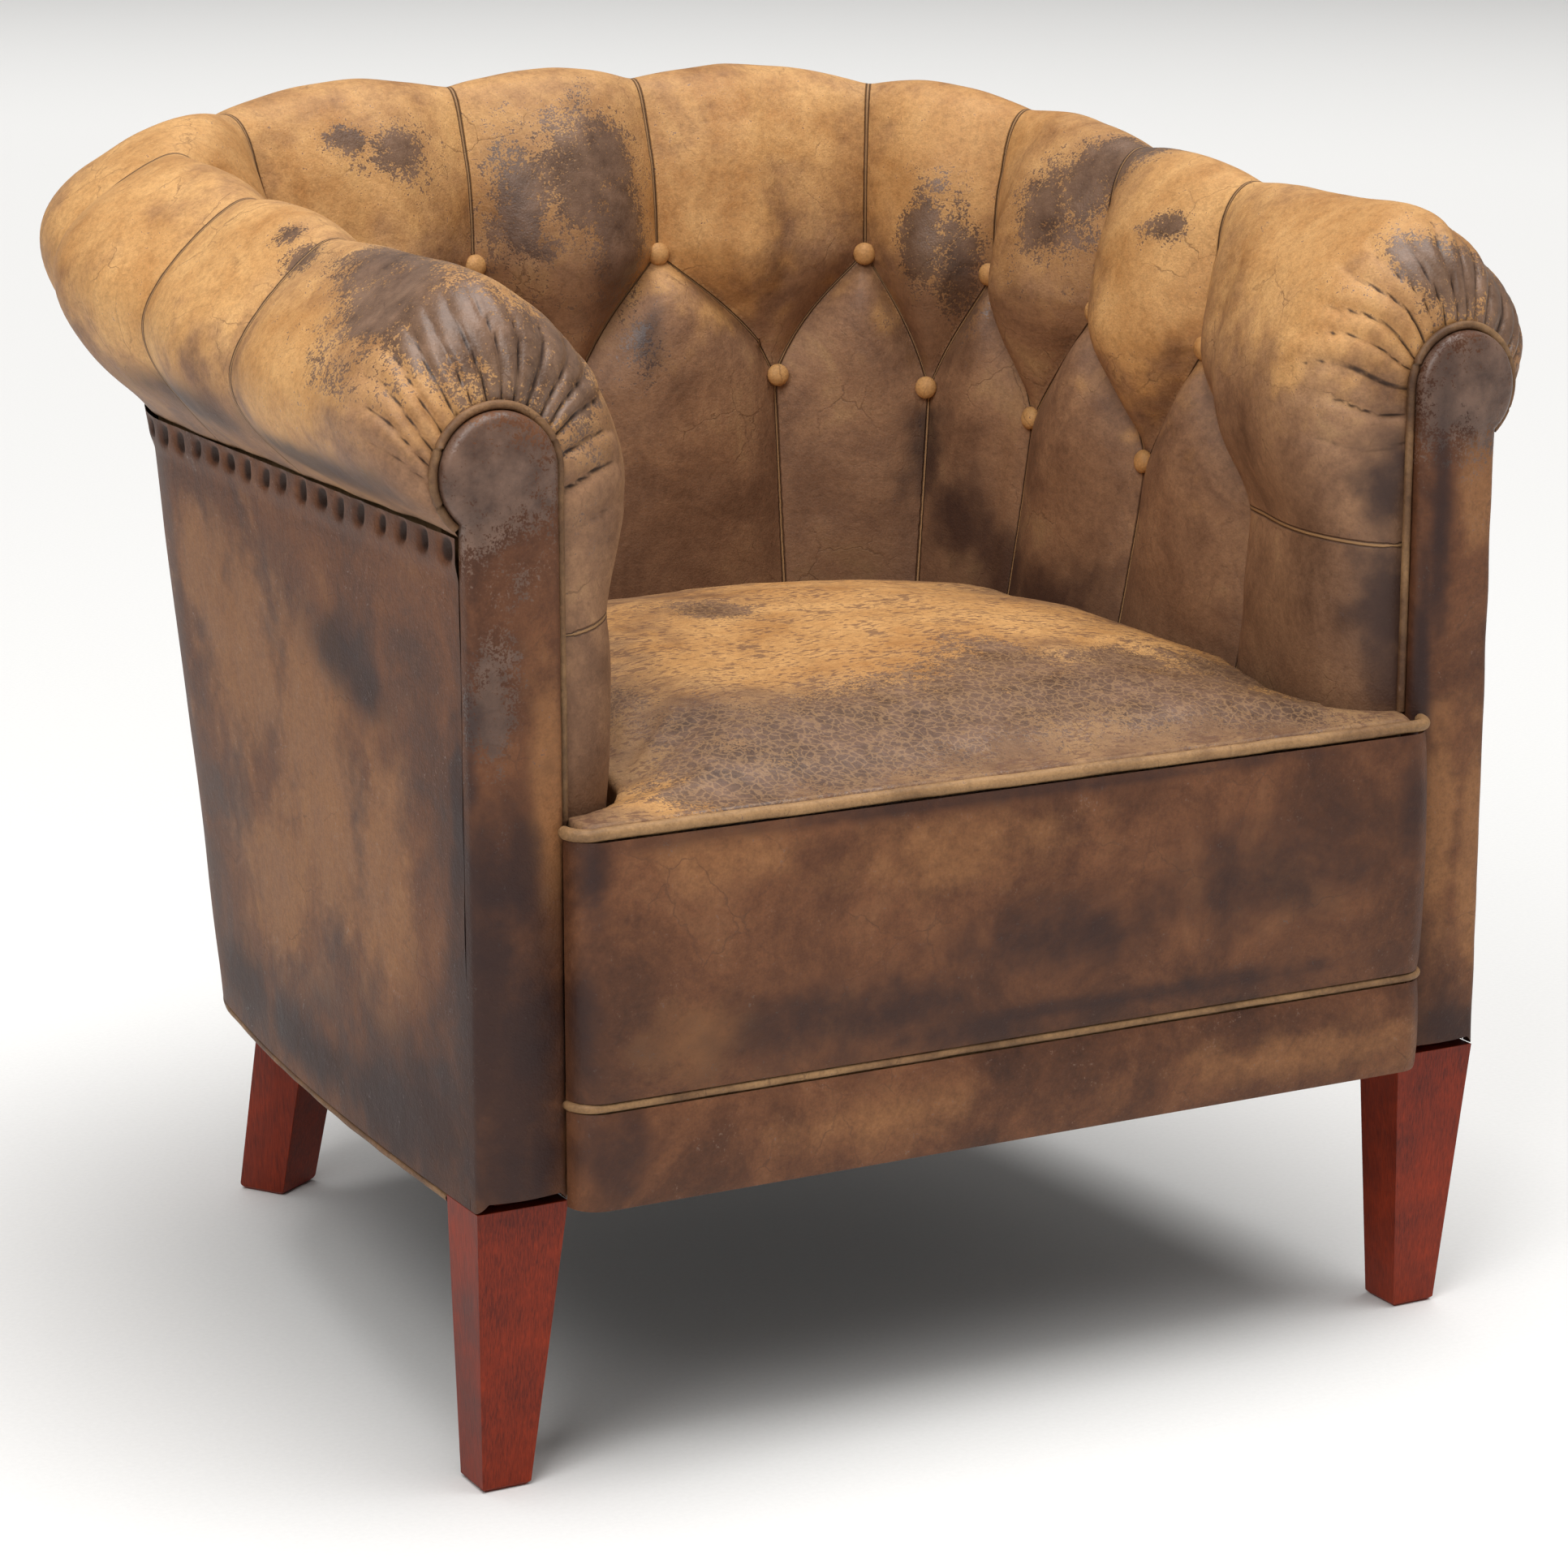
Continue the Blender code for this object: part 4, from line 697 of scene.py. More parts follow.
        # Cracks round scales of 6 mm in the wax, and scabs of old finish drawn out sideways
        cells = add(tree, "ShaderNodeTexVoronoi", {"Vector": bent, "Scale": 1 / 0.0060},
                    feature="DISTANCE_TO_EDGE").outputs[0]
        crack = add(tree, "ShaderNodeMapRange", {0: cells, 1: 0.02, 2: 0.14, 3: crackle, 4: 0.0},
                    interpolation_type="SMOOTHSTEP").outputs[0]
        grease = add(tree, "ShaderNodeMix", {0: crack, 6: grease, 7: hexed("#B08A62")},
                     data_type="RGBA").outputs[2]
        long = add(tree, "ShaderNodeVectorMath", {0: place, 1: (0.45, 1.0, 1.0)},
                   operation="MULTIPLY").outputs[0]
        scab = add(tree, "ShaderNodeTexNoise", {"Vector": long, "Scale": 1 / 0.0028,
                                                "Detail": 4.0}).outputs[0]
        scab = add(tree, "ShaderNodeMath", {0: blotch, 1: 0.8, 2: scab},
                   operation="MULTIPLY_ADD").outputs[0]
        scab = add(tree, "ShaderNodeMapRange", {0: scab, 1: 0.92, 2: 1.02, 3: 0.0, 4: 0.72},
                   interpolation_type="SMOOTHSTEP").outputs[0]
        layers = [(scab, hexed("#664736"))]
    # From the oldest to the newest: grease, damp stains with painted shade among them, cracks,
    # darkening low down that is partly painted shade and partly grime, painted shade with some
    # grime in the hollows, the painted shade of a pleat and its rubbed fold
    layers += [(greasy, grease), (soaked_and_shaded, hexed(soak_and_shade_colour)), (hair, hexed("#4A3022")),
               (foot, hexed("#54331F")), (hollow_shade_and_dirt, hexed("#2E1C12")), (groove, hexed("#4A2E1D")),
               (ridge, hexed("#A27C54"))]
    for share, tint in layers:
        colour = add(tree, "ShaderNodeMix", {0: share, 6: colour, 7: tint},
                     data_type="RGBA").outputs[2]
    tree.links.new(colour, shader.inputs["Base Color"])
    gloss = add(tree, "ShaderNodeMapRange", {0: cloud, 1: 0.3, 2: 0.7, 3: 0.50, 4: 0.64}).outputs[0]
    gloss = add(tree, "ShaderNodeMix", {0: greasy, 2: gloss, 3: 0.36}).outputs[0]
    tree.links.new(gloss, shader.inputs["Roughness"])
    shader.inputs["Specular IOR Level"].default_value = 0.28
    shader.inputs["Coat Roughness"].default_value = 0.33
    wax = add(tree, "ShaderNodeMath", {0: greasy, 1: 0.25}, operation="MULTIPLY").outputs[0]
    tree.links.new(wax, shader.inputs["Coat Weight"])
    height = add(tree, "ShaderNodeMath", {0: grain, 1: 0.00013}, operation="MULTIPLY").outputs[0]
    for source, metres in ((flake, 0.00030), (blotch, 0.0011), (greasy, -0.00010),
                           (hair, -0.00040), (groove, -0.0012), (ridge, 0.0016)):
        height = add(tree, "ShaderNodeMath", {0: source, 1: metres, 2: height},
                     operation="MULTIPLY_ADD").outputs[0]
    relief = add(tree, "ShaderNodeBump", {"Height": height, "Distance": 1.0, "Strength": 1.0})
    tree.links.new(relief.outputs[0], shader.inputs["Normal"])
    return made


def streaked(name, dark, light, size, stretch, roughness, relief):
    """A material with streaks of a width in metres, drawn out along x, y and z by stretch."""
    made, tree, shader = new_material(name)
    place = add(tree, "ShaderNodeTexCoord").outputs["Object"]
    drawn = add(tree, "ShaderNodeVectorMath", {0: place, 1: stretch},
                operation="MULTIPLY").outputs[0]
    streak = add(tree, "ShaderNodeTexNoise", {"Vector": drawn, "Scale": 1 / size, "Detail": 6.0,
                                              "Roughness": 0.65, "Distortion": 0.6}).outputs[0]
    cloud = add(tree, "ShaderNodeTexNoise", {"Vector": place, "Scale": 1 / 0.05,
                                             "Detail": 5.0}).outputs[0]
    blend = add(tree, "ShaderNodeMath", {0: cloud, 1: 0.8, 2: streak},
                operation="MULTIPLY_ADD").outputs[0]
    blend = add(tree, "ShaderNodeMapRange", {0: blend, 1: 0.65, 2: 1.15}).outputs[0]
    colour = add(tree, "ShaderNodeMix", {0: blend, 6: hexed(dark), 7: hexed(light)},
                 data_type="RGBA").outputs[2]
    tree.links.new(colour, shader.inputs["Base Color"])
    rough = add(tree, "ShaderNodeMapRange", {0: cloud, 1: 0.3, 2: 0.7, 3: roughness - 0.06,
                                             4: roughness + 0.06}).outputs[0]
    tree.links.new(rough, shader.inputs["Roughness"])
    shader.inputs["Specular IOR Level"].default_value = 0.22
    bump = add(tree, "ShaderNodeBump", {"Height": streak, "Distance": relief, "Strength": 1.0})
    tree.links.new(bump.outputs[0], shader.inputs["Normal"])
    return made


def woven(name, dark, light, thread):
    """A plain weave with threads of a width in metres, over and under one another."""
    made, tree, shader = new_material(name)
    place = add(tree, "ShaderNodeTexCoord").outputs["Object"]
    across = [add(tree, "ShaderNodeTexWave", {"Vector": place, "Scale": 0.1 * math.pi / thread,
                                              "Distortion": 0.4},
                  bands_direction=axis).outputs["Fac"] for axis in "XY"]
    weave = add(tree, "ShaderNodeMath", {0: across[0], 1: across[1]},
                operation="MULTIPLY").outputs[0]
    colour = add(tree, "ShaderNodeMix", {0: weave, 6: hexed(dark), 7: hexed(light)},
                 data_type="RGBA").outputs[2]
    tree.links.new(colour, shader.inputs["Base Color"])
    shader.inputs["Roughness"].default_value = 0.9
    bump = add(tree, "ShaderNodeBump", {"Height": weave, "Distance": thread / 4})
    tree.links.new(bump.outputs[0], shader.inputs["Normal"])
    return made


# Full-grain cowhide, dyed tan with aniline and waxed by hand: warm, cloudy, silky in sheen
leather = worn_leather("waxed_tan_leather", ("#5E4230", "#7E5C44", "#967052", "#AA865E"),
                       ("#A26E3A", "#D6A66C"), "#2F2120", 0.0)
# The same hide on the seat, dried out and cracked into scales by sitting
seat_leather = worn_leather("cracked_tan_leather", ("#5E4230", "#7C5C42", "#93704E", "#A58055"),
                            ("#9E6C3A", "#D0A066"), "#3A2820", 0.36)
# Brown cowhide of the outside and the front, dyed in the drum: plainer, duller, damp-stained; its
# damp colour also paints the shade on the front border and in the tack dimples
plain_leather = worn_leather("rubbed_brown_leather", ("#3C2215", "#54321E", "#6A4229", "#7C5336"),
                             ("#7A4F2E", "#946640"), "#281817", 0.0)
# Thin skived cowhide, rolled round a cord and stitched: dark in the seam, pale on the rub
piping_leather = worn_leather("rolled_piping_leather",
                              ("#3E281A", "#553A27", "#6E4E34", "#8A6544"),
                              ("#80603F", "#AB855B"), "#2A1C16", 0.0)
# Beech planed and stained mahogany red under wax: half glossy, with dark streaks along the
# leg, about 15 mm long and drawn 0.9 mm wide, because the true pores are too fine to show
stained_beech = streaked("stained_beech", "#4A1408", "#8E2E10", 0.0009, (1, 1, 0.06), 0.46, 0.0001)
# Sawn beech of the hidden frame, dull and pale, with flecks 1.4 mm wide
raw_beech = streaked("raw_beech", "#8E6A44", "#C6A073", 0.0014, (0.3, 0.3, 0.2), 0.75, 0.0001)
# Curled coconut fibre, teased into a springy mat: dry, dark and coarse
coir = streaked("coconut_fibre", "#3A2816", "#7C5B38", 0.0016, (1, 0.5, 0.8), 0.95, 0.0012)
# Jute yarn woven into webbing, threads of 2.8 mm: dull, with no shine at all
jute = woven("jute_webbing", "#6A5436", "#A88E66", 0.0028)
# Drawn steel spring wire, once oiled and now lightly rusted: grey metal with brown clouds
spring_steel = streaked("spring_steel", "#4A342A", "#6E6A66", 0.003, (1, 1, 1), 0.45, 0.0001)
spring_steel.node_tree.nodes["Principled BSDF"].inputs["Metallic"].default_value = 0.8
# Black cotton cloth, plainly woven with threads of 0.8 mm: flat and matt
black_cloth = woven("black_lining_cloth", "#0B0B0B", "#222120", 0.0008)


def no_pleat(points, hollow=0.0):
    """Pleat values of a piece without pleats, with how hollow it is at each point."""
    values = np.zeros(points.shape[:-1] + (3,))
    values[..., 0] = FAR_FROM_PLEAT
    values[..., 2] = hollow
    return values


def finish_piece(piece, slot, *nodes, fill=None):
    """Say what a piece rides on and what it replaces; the slot and the fill are not used."""
    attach(piece, "root")
    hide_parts(*nodes)
    return piece


def surface_normals(points, outward):
    """Unit normals of a grid of points, on the side of a rough outward direction."""
    along = np.gradient(points, axis=0)
    across = np.gradient(points, axis=1)
    normals = np.cross(along, across)
    normals /= np.maximum(np.linalg.norm(normals, axis=-1, keepdims=True), 1e-12)
    return normals * np.sign(np.sum(normals * outward, axis=-1, keepdims=True) + 1e-9)


def gathers(place, positions, seed):
    """Height of the folds that run out from the scroll head, and how deep their valleys are.

    Turns are in degrees round the head, from its inner side over the top.
    """
    turn = np.interp(positions, np.arange(LAST + 1), STATION_TURNS)[None, :]
    run = from_front(place)[:, None] - COVER_START
    reach = np.hypot(dome(place)[:, None] * GATHER_DOME, run)
    chance = random.Random(seed)
    middles = np.array([FIRST_GATHER + GATHER_PITCH * index
                        + chance.uniform(-GATHER_STRAY, GATHER_STRAY)
                        for index in range(GATHER_COUNT)])
    talls = np.array([chance.uniform(*GATHER_HEIGHT) for _ in middles])
    lengths = np.array([chance.uniform(*GATHER_LENGTH) for _ in middles])
    wander = 3.0 * np.sin(reach / 0.011 + turn / 21.0 + seed)
    phase = np.interp(turn + wander, middles, np.arange(GATHER_COUNT))
    nearest = np.rint(phase).astype(int)
    aside = np.abs(phase - nearest)
    ends = smoothstep((turn + 46) / 36) * smoothstep((214 - turn) / 60)
    fade = np.clip(1 - (reach / lengths[nearest]) ** 1.5, 0, 1) * ends
    height = talls[nearest] * fade * smoothstep((reach + 0.003) / 0.008)
    # How far into a valley between two gathers a point lies: it darkens the valleys, as painted
    # shade with some grime
    valley = np.clip(1 - (0.5 - aside) / 0.17, 0, 1) * np.clip(1.5 * fade, 0, 1)
    return height * (np.sqrt(np.maximum(1 - (2 * aside) ** 2, 0)) - 0.45), valley


def relaxed(points, pinned, rounds):
    """The grid pulled smooth, as stretched leather is, between points that stay in place."""
    hold = pinned.copy()
    hold[[0, -1], :] = True
    hold[:, [0, -1]] = True
    for _ in range(rounds):
        near = points.copy()
        near[1:-1, 1:-1] = (points[:-2, 1:-1] + points[2:, 1:-1]
                            + points[1:-1, :-2] + points[1:-1, 2:]) / 4
        points = np.where(hold[..., None], points, mix(points, near, 0.8))
    return points


def tension_folds(place, positions):
    """Small folds that radiate from every button."""
    height = np.zeros((len(place), len(positions)))
    for index, (_, centre, station) in enumerate(BUTTON_PLACES):
        across = (place - centre)[:, None]
        down = (positions - station)[None, :] * WALL_STATION
        distance = np.hypot(across, down)
        turn = np.arctan2(down, across)
        star = np.cos(5 * turn + index * 1.7) + 0.7 * np.cos(8 * turn + index * 2.9)
        height += (BUTTON_FOLD * star * np.exp(-distance / BUTTON_FOLD_REACH)
                   * smoothstep(distance / 0.010))
    return height


def tub_lining():
    """The buttoned inside cover, over the rolls, in three pieces of leather."""
    places = lining_places()
    positions = lining_positions()
    points, rough_normals, full = cover_surface(places, positions)
    level = np.abs(positions - LOWER) < 1e-9
    ahead = (places <= LOWERS[0]) | (places >= LOWERS[-1])
    in_pleat = (full < 1e-5) | (ahead[:, None] & level[None, :])
    distance = np.where(in_pleat, 0.0, pleat_distance(points).reshape(full.shape))
    points = relaxed(points, in_pleat, RELAX_ROUNDS)
    normals = surface_normals(points, rough_normals)
    # Wadding that has lumped together: broad lumps of 85 mm and small ones of 32 mm
    uneven = lumps(points, 0.085) * 0.0026 + lumps(points, 0.032, 3.1) * 0.0010
    relief = uneven * np.clip(full, 0.15, 1.0) + tension_folds(places, positions)
    left, left_valley = gathers(places, positions, 3)
    right, right_valley = gathers(places, positions, 8)
    on_left = (places < PLAN_LENGTH / 2)[:, None]
    relief = relief + np.where(on_left, left, right)
    valley = np.where(on_left, left_valley, right_valley)
    points = points + normals * relief[..., None]
    # Painted shade with some grime: darker where the panels sink towards the pleats, and in the
    # valleys between the gathers
    hollow = np.maximum(0.50 * (1 - np.clip(full, 0, 1)), valley)
    wear_and_shade = wear_and_shade_values(points, LINING_GOLD, LINING_PATINA, LINING_STAIN_AND_SHADE).reshape(full.shape + (3,))
    # The whole crest of the roll is rubbed golden, held back on its underside as painted shade; the
    # foot of the wall darkens towards the seat, partly painted shade and partly grime
    over_roll = smoothstep((4.8 - positions) / 1.8) * smoothstep((positions - 0.6) / 0.9)
    wear_and_shade[..., 0] = np.maximum(wear_and_shade[..., 0], 0.58 * over_roll[None, :])
    low = smoothstep((positions - 5.0) / 1.0)[None, :]
    crease = np.stack([distance, np.broadcast_to(low, full.shape), hollow], axis=-1)
    cuts = np.searchsorted(places, [0.0, PLEATS[3] - 1e-9, PLEATS[6] - 1e-9, PLAN_LENGTH])
    for label, start, end in zip(("left_arm", "back", "right_arm"), cuts[:-1], cuts[1:]):
        stop = min(end + 1, len(places))
        part = slice(start, stop)
        faces = cut_grid(stop - start, len(positions), full[part])
        piece = mesh_object("tub_lining_" + label, points[part], faces, leather,
                            values={"wear_and_shade": wear_and_shade[part], "pleat": crease[part]})
        finish_piece(piece, "worn_tan_leather", "inside_cover", fill=0.9)


def lathe(profile, base, axis, sides):
    """Points of a turned shape round an axis, from pairs of height and radius."""
    axis = Vector(axis)
    across = axis.cross(Vector((0, 0, 1))).normalized()
    up = across.cross(axis)
    points = []
    for along, radius in profile:
        for step in range(sides):
            turn = math.tau * step / sides
            points.append(Vector(base) + axis * along
                          + (across * math.cos(turn) + up * math.sin(turn)) * radius)
    return points


def leather_buttons():
    """The covered buttons, rubbed pale, at the bottoms of their hollows."""
    faces = grid_faces(len(BUTTON_PROFILE), BUTTON_SIDES, closed=True)
    for name, place, station in BUTTON_PLACES:
        base, axis = button_axis(place, station)
        seat = base + axis * BUTTON_STEM
        points = np.array(lathe(BUTTON_PROFILE, seat, axis, BUTTON_SIDES))
        wear_and_shade = np.zeros_like(points)
        wear_and_shade[:, 0] = 0.9
        piece = mesh_object("leather_" + name, points, faces, leather,
                            values={"wear_and_shade": wear_and_shade, "pleat": no_pleat(points)})
        finish_piece(piece, "worn_tan_leather", name)


def tube(route, radius, sides=12):
    """Points and faces of a round cord along a route."""
    route = [Vector(point) for point in route]
    points = []
    for index, point in enumerate(route):
        ahead = route[min(index + 1, len(route) - 1)]
        behind = route[max(index - 1, 0)]
        along = (ahead - behind).normalized()
        across = along.cross(Vector((0, 0, 1)) if abs(along.z) < 0.9 else Vector((0, 1, 0)))
        across.normalize()
        up = across.cross(along).normalized()
        points += [point + (across * math.cos(turn) + up * math.sin(turn)) * radius
                   for turn in (math.tau * step / sides for step in range(sides))]
    return points, grid_faces(len(route), sides, closed=True)


def post_outline(side, margin, bottom, arc_steps, straight_steps):
    """The front view of a facing, a straight board under a round head, as x and height."""
    radius = HEAD_RADIUS - margin
    middle = POST_INNER + HEAD_RADIUS
    outer = HALF_WIDTH - margin
    inner = POST_INNER + margin
    neck = math.acos(min(max((outer - middle) / radius, -1), 1))
    arc = [(middle + radius * math.cos(turn), HEAD_CENTRE + radius * math.sin(turn))
           for turn in np.linspace(-neck, math.pi, arc_steps + 1)]
    share = np.linspace(0, 1, straight_steps, endpoint=False)
    up = [(outer, mix(bottom, arc[0][1], s)) for s in share]
    down = [(inner, mix(arc[-1][1], bottom, s)) for s in share[1:]] + [(inner, bottom)]
    return [(side * x, height) for x, height in up + arc + down]


def merge_points(piece):
    """Join the points that the rings of a facing share along its spine."""
    shape = bmesh.new()
    shape.from_mesh(piece.data)
    bmesh.ops.remove_doubles(shape, verts=shape.verts, dist=0.0002)
    shape.to_mesh(piece.data)
    shape.free()


def scroll_facings():
    """The padded leather boards on the fronts of the posts."""
    rim = [(0.0, FRONT + FACING_DEPTH)] + [
        (FACING_RIM * (1 - math.cos(turn)), FRONT + FACING_RIM * (1 - math.sin(turn)))
        for turn in np.linspace(0, math.pi / 2, 6)]
    for side, label in ((-1, "left"), (1, "right")):
        rings = []
        for margin, y in rim:
            outline = np.array(post_outline(side, margin, BODY_BASE + margin, FACING_ARC_STEPS,
                                            FACING_SIDE_STEPS))
            rings.append(np.stack([outline[:, 0], np.full(len(outline), y), outline[:, 1]], 1))
        edge = rings[-1]
        # The spine runs up the middle of the board, then leans over to the middle of the head
        lean = smoothstep((edge[:, 2] - 0.54) / 0.06)
        spine = edge.copy()
        spine[:, 0] = side * mix(HALF_WIDTH - POST_WIDTH / 2, POST_INNER + HEAD_RADIUS, lean)
        spine[:, 2] = np.minimum(edge[:, 2], HEAD_CENTRE)
        for share in FACING_SPINE_SHARES:
            ring = mix(edge, spine, share)
            ring[:, 1] -= FACING_SWELL * math.sin(share * math.pi / 2)
            rings.append(ring)
        faces = cut_grid(len(rings), len(edge))
        points = np.concatenate(rings)
        points[:, 1] += lumps(points, 0.035, 8.0) * 0.0008
        wear_and_shade = wear_and_shade_values(points, FACING_LIGHT, FACING_PATINA, FACING_STAIN)
        piece = mesh_object("padded_facing_" + label, points, faces, plain_leather,
                            values={"wear_and_shade": wear_and_shade, "pleat": no_pleat(points)})
        merge_points(piece)
        finish_piece(piece, "worn_brown_leather", "scroll_facing_" + label, fill=0.3)


def front_outline(face, corner, back, steps=10, across=120):
    """Plan outline of a piece across the front, with rounded front corners."""
    points = [(-SEAT_HALF, mix(back, face + corner, s)) for s in np.linspace(0, 1, 4)]
    for step in range(1, steps + 1):
        turn = math.pi / 2 * step / steps
        points.append((-SEAT_HALF + corner * (1 - math.cos(turn)),
                       face + corner * (1 - math.sin(turn))))
    start = points[-1][0]
    middle = [(x, face) for x in np.linspace(start, -start, across)[1:-1]]
    return points + middle + [(-x, y) for x, y in reversed(points)]


def front_panels():
    """The stuffed border under the seat's edge, and the flatter band under that."""
    for name, node, low, high, bulge in (
            ("stuffed_front_border", "front_border", BORDER_BOTTOM,
             SEAT_FRONT - 2 * WELT_RADIUS, BORDER_BULGE),
            ("front_apron", "apron_band", APRON_BOTTOM,
             BORDER_BOTTOM - 2 * PIPING_RADIUS - 2 * CLEARANCE, APRON_BULGE)):
        points = []
        for level in range(PANEL_LEVELS + 1):
            share = level / PANEL_LEVELS
            push = bulge * math.sin(share * math.pi) ** 0.6
            outline = front_outline(SEAT_FACE - push, BORDER_CORNER, SEAT_FACE + BORDER_DEPTH)
            points += [(x, y, mix(low, high, share)) for x, y in outline]
        faces = grid_faces(PANEL_LEVELS + 1, len(outline))
        points = np.array(points)
        # On the border, the third wear value is painted shade
        wear_and_shade = wear_and_shade_values(points, BORDER_LIGHT, [], BORDER_SHADE_PATCHES) * (0.6, 1, 0.8)
        piece = mesh_object(name, points, faces, plain_leather,
                            values={"wear_and_shade": wear_and_shade, "pleat": no_pleat(points)})
        finish_piece(piece, "worn_brown_leather", node, fill=0.4)


def piping(name, node, route, radius, sides=16, pale=0.30):
    """A cord rolled in leather, stitched along a seam, pale where it is rubbed."""
    points, faces = tube(route, radius, sides)
    points = np.array(points, dtype=float)
    points += lumps(points, 0.03, 12.0)[:, None] * 0.0004
    wear_and_shade = np.zeros((len(points), 3))
    wear_and_shade[:, 0] = pale + 0.35 * lumps(points, 0.06, 2.5)
    piece = mesh_object(name, points, faces, piping_leather,
                        values={"wear_and_shade": wear_and_shade, "pleat": no_pleat(points)})
    finish_piece(piece, "piping_leather", node)


def pipings():
    """Every welt and piping: round the heads, along the seat's edge and border, and the base."""
    for side, label in ((-1, "left"), (1, "right")):
        outline = post_outline(side, -THIN_PIPING - CLEARANCE, SEAT_FRONT, 60, 30)
        y = FRONT + FACING_DEPTH - PIPING_RADIUS
        piping("head_piping_" + label, "scroll_piping_" + label,
               [(x, y, z) for x, z in outline[30:]], THIN_PIPING)
    for name, node, height, radius in (
            ("seat_edge_welt", "seat_welt", SEAT_FRONT - WELT_RADIUS + CLEARANCE, WELT_RADIUS),
            ("border_edge_piping", "border_piping", BORDER_BOTTOM - PIPING_RADIUS - CLEARANCE,
             PIPING_RADIUS)):
        ends = FRONT - CLEARANCE - radius
        outline = front_outline(SEAT_FACE + radius, BORDER_CORNER - radius, ends)
        piping(name, node, [(x, y, height) for x, y in outline], radius,
               pale=0.62 if radius == WELT_RADIUS else 0.45)
    start = FRONT_LEG_FACE + FRONT_LEG_DEPTH + 0.002
    places = np.linspace(start, PLAN_LENGTH - start, 420)
    inset = taper_inset(places, BODY_BASE) + PIPING_RADIUS
    route = on_wall(places, inset, BODY_BASE - CLEARANCE - PIPING_RADIUS)
    piping("base_edge_piping", "base_piping", route, PIPING_RADIUS, 10)


def tack_dimples(place, height):
    """Depth of the hollows that the tacks have pulled into the leather under the roll."""
    chance = random.Random(5)
    depth = np.zeros(np.broadcast(place, height).shape)
    along = COVER_START + 0.014
    while along < PLAN_LENGTH - COVER_START - 0.010:
        middle = TACK_HEIGHT + chance.uniform(-0.0012, 0.0012)
        wide = DIMPLE_WIDTH * chance.uniform(0.8, 1.15)
        tall = DIMPLE_TALL * chance.uniform(0.85, 1.15)
        lean = chance.uniform(-0.25, 0.05)
        across = place - along - lean * (height - middle)
        depth = np.maximum(depth, np.exp(-np.abs(across / wide) ** 2.6
                                         - np.abs((height - middle) / tall) ** 2.6))
        along += TACK_PITCH * chance.uniform(0.90, 1.10)
    return depth


def outer_leather():
    """The plain leather round the outside, from the row of tacks down to the base."""
    places = np.linspace(COVER_START, PLAN_LENGTH - COVER_START, OUTER_COLUMNS)
    top = TACK_LINE - 2 * CLEARANCE
    strip = top - TACK_STRIP
    heights = np.concatenate([np.linspace(BODY_BASE, strip, OUTER_ROWS, endpoint=False),
                              np.linspace(strip, top, TACK_ROWS)])
    column = places[:, None]
    row = heights[None, :]
    inset = taper_inset(column, row) + 0 * column
    points = on_wall(column, inset, row)
    dimple = tack_dimples(column, row)
    # Old leather sags a little between the rails, in waves of 160 mm and 50 mm
    sag = lumps(points, 0.16, 7.0) * 0.0020 + lumps(points, 0.05, 9.0) * 0.0006
    edge = np.minimum(smoothstep((row - BODY_BASE) / 0.03), smoothstep((top - row) / 0.03))
    puckered = PUCKER * smoothstep((row - TACK_HEIGHT + 0.018) / 0.014) * (1 - dimple)
    inset = inset - sag * edge - puckered + DIMPLE_DEPTH * dimple
    points = on_wall(column, inset, row)
    # Inside the tack dimples the colour is darkened, through the hollow and the third wear value:
    # painted shade in the hollows, with some grime
    hollow = np.clip(1.5 * dimple, 0, 1)
    wear_and_shade = wear_and_shade_values(points, OUTSIDE_LIGHT, [], OUTSIDE_DARK_PATCHES)
    wear_and_shade[:, 2] = np.maximum(wear_and_shade[:, 2], 1.3 * dimple.ravel())
    piece = mesh_object("outer_leather", points, grid_faces(len(places), len(heights)),
                        plain_leather, values={"wear_and_shade": wear_and_shade, "pleat": no_pleat(points, hollow)})
    finish_piece(piece, "worn_brown_leather", "outside_cover", fill=0.2)


def stuffed(piece, pressure, cap):
    """Swell a closed mesh with a cloth simulation, moving no point further than the cap."""
    scene = bpy.context.scene
    before = np.empty(len(piece.data.vertices) * 3)
    piece.data.vertices.foreach_get("co", before)
    before = before.reshape(-1, 3)
    low = before[:, 2].min()
    held = piece.vertex_groups.new(name="held")
    held.add([int(i) for i in np.flatnonzero(before[:, 2] < low + 0.004)], 1.0, "REPLACE")
    cloth = piece.modifiers.new("cloth", "CLOTH")
    cloth.settings.quality = 5
    cloth.settings.mass = 0.3
    cloth.settings.tension_stiffness = 15
    cloth.settings.compression_stiffness = 15
    cloth.settings.bending_stiffness = 0.6
    cloth.settings.use_pressure = True
    cloth.settings.uniform_pressure_force = pressure
    cloth.settings.vertex_group_mass = "held"
    cloth.settings.effector_weights.gravity = 0.0
    for step in range(1, CLOTH_FRAMES + 1):
        scene.frame_set(step)
    graph = bpy.context.evaluated_depsgraph_get()
    after = np.empty(len(before) * 3)
    piece.evaluated_get(graph).data.vertices.foreach_get("co", after)
    move = after.reshape(-1, 3) - before
    length = np.linalg.norm(move, axis=1, keepdims=True)
    move *= np.minimum(1.0, cap / np.maximum(length, 1e-9))
    piece.modifiers.clear()
    piece.vertex_groups.clear()
    scene.frame_set(1)
    return before, move


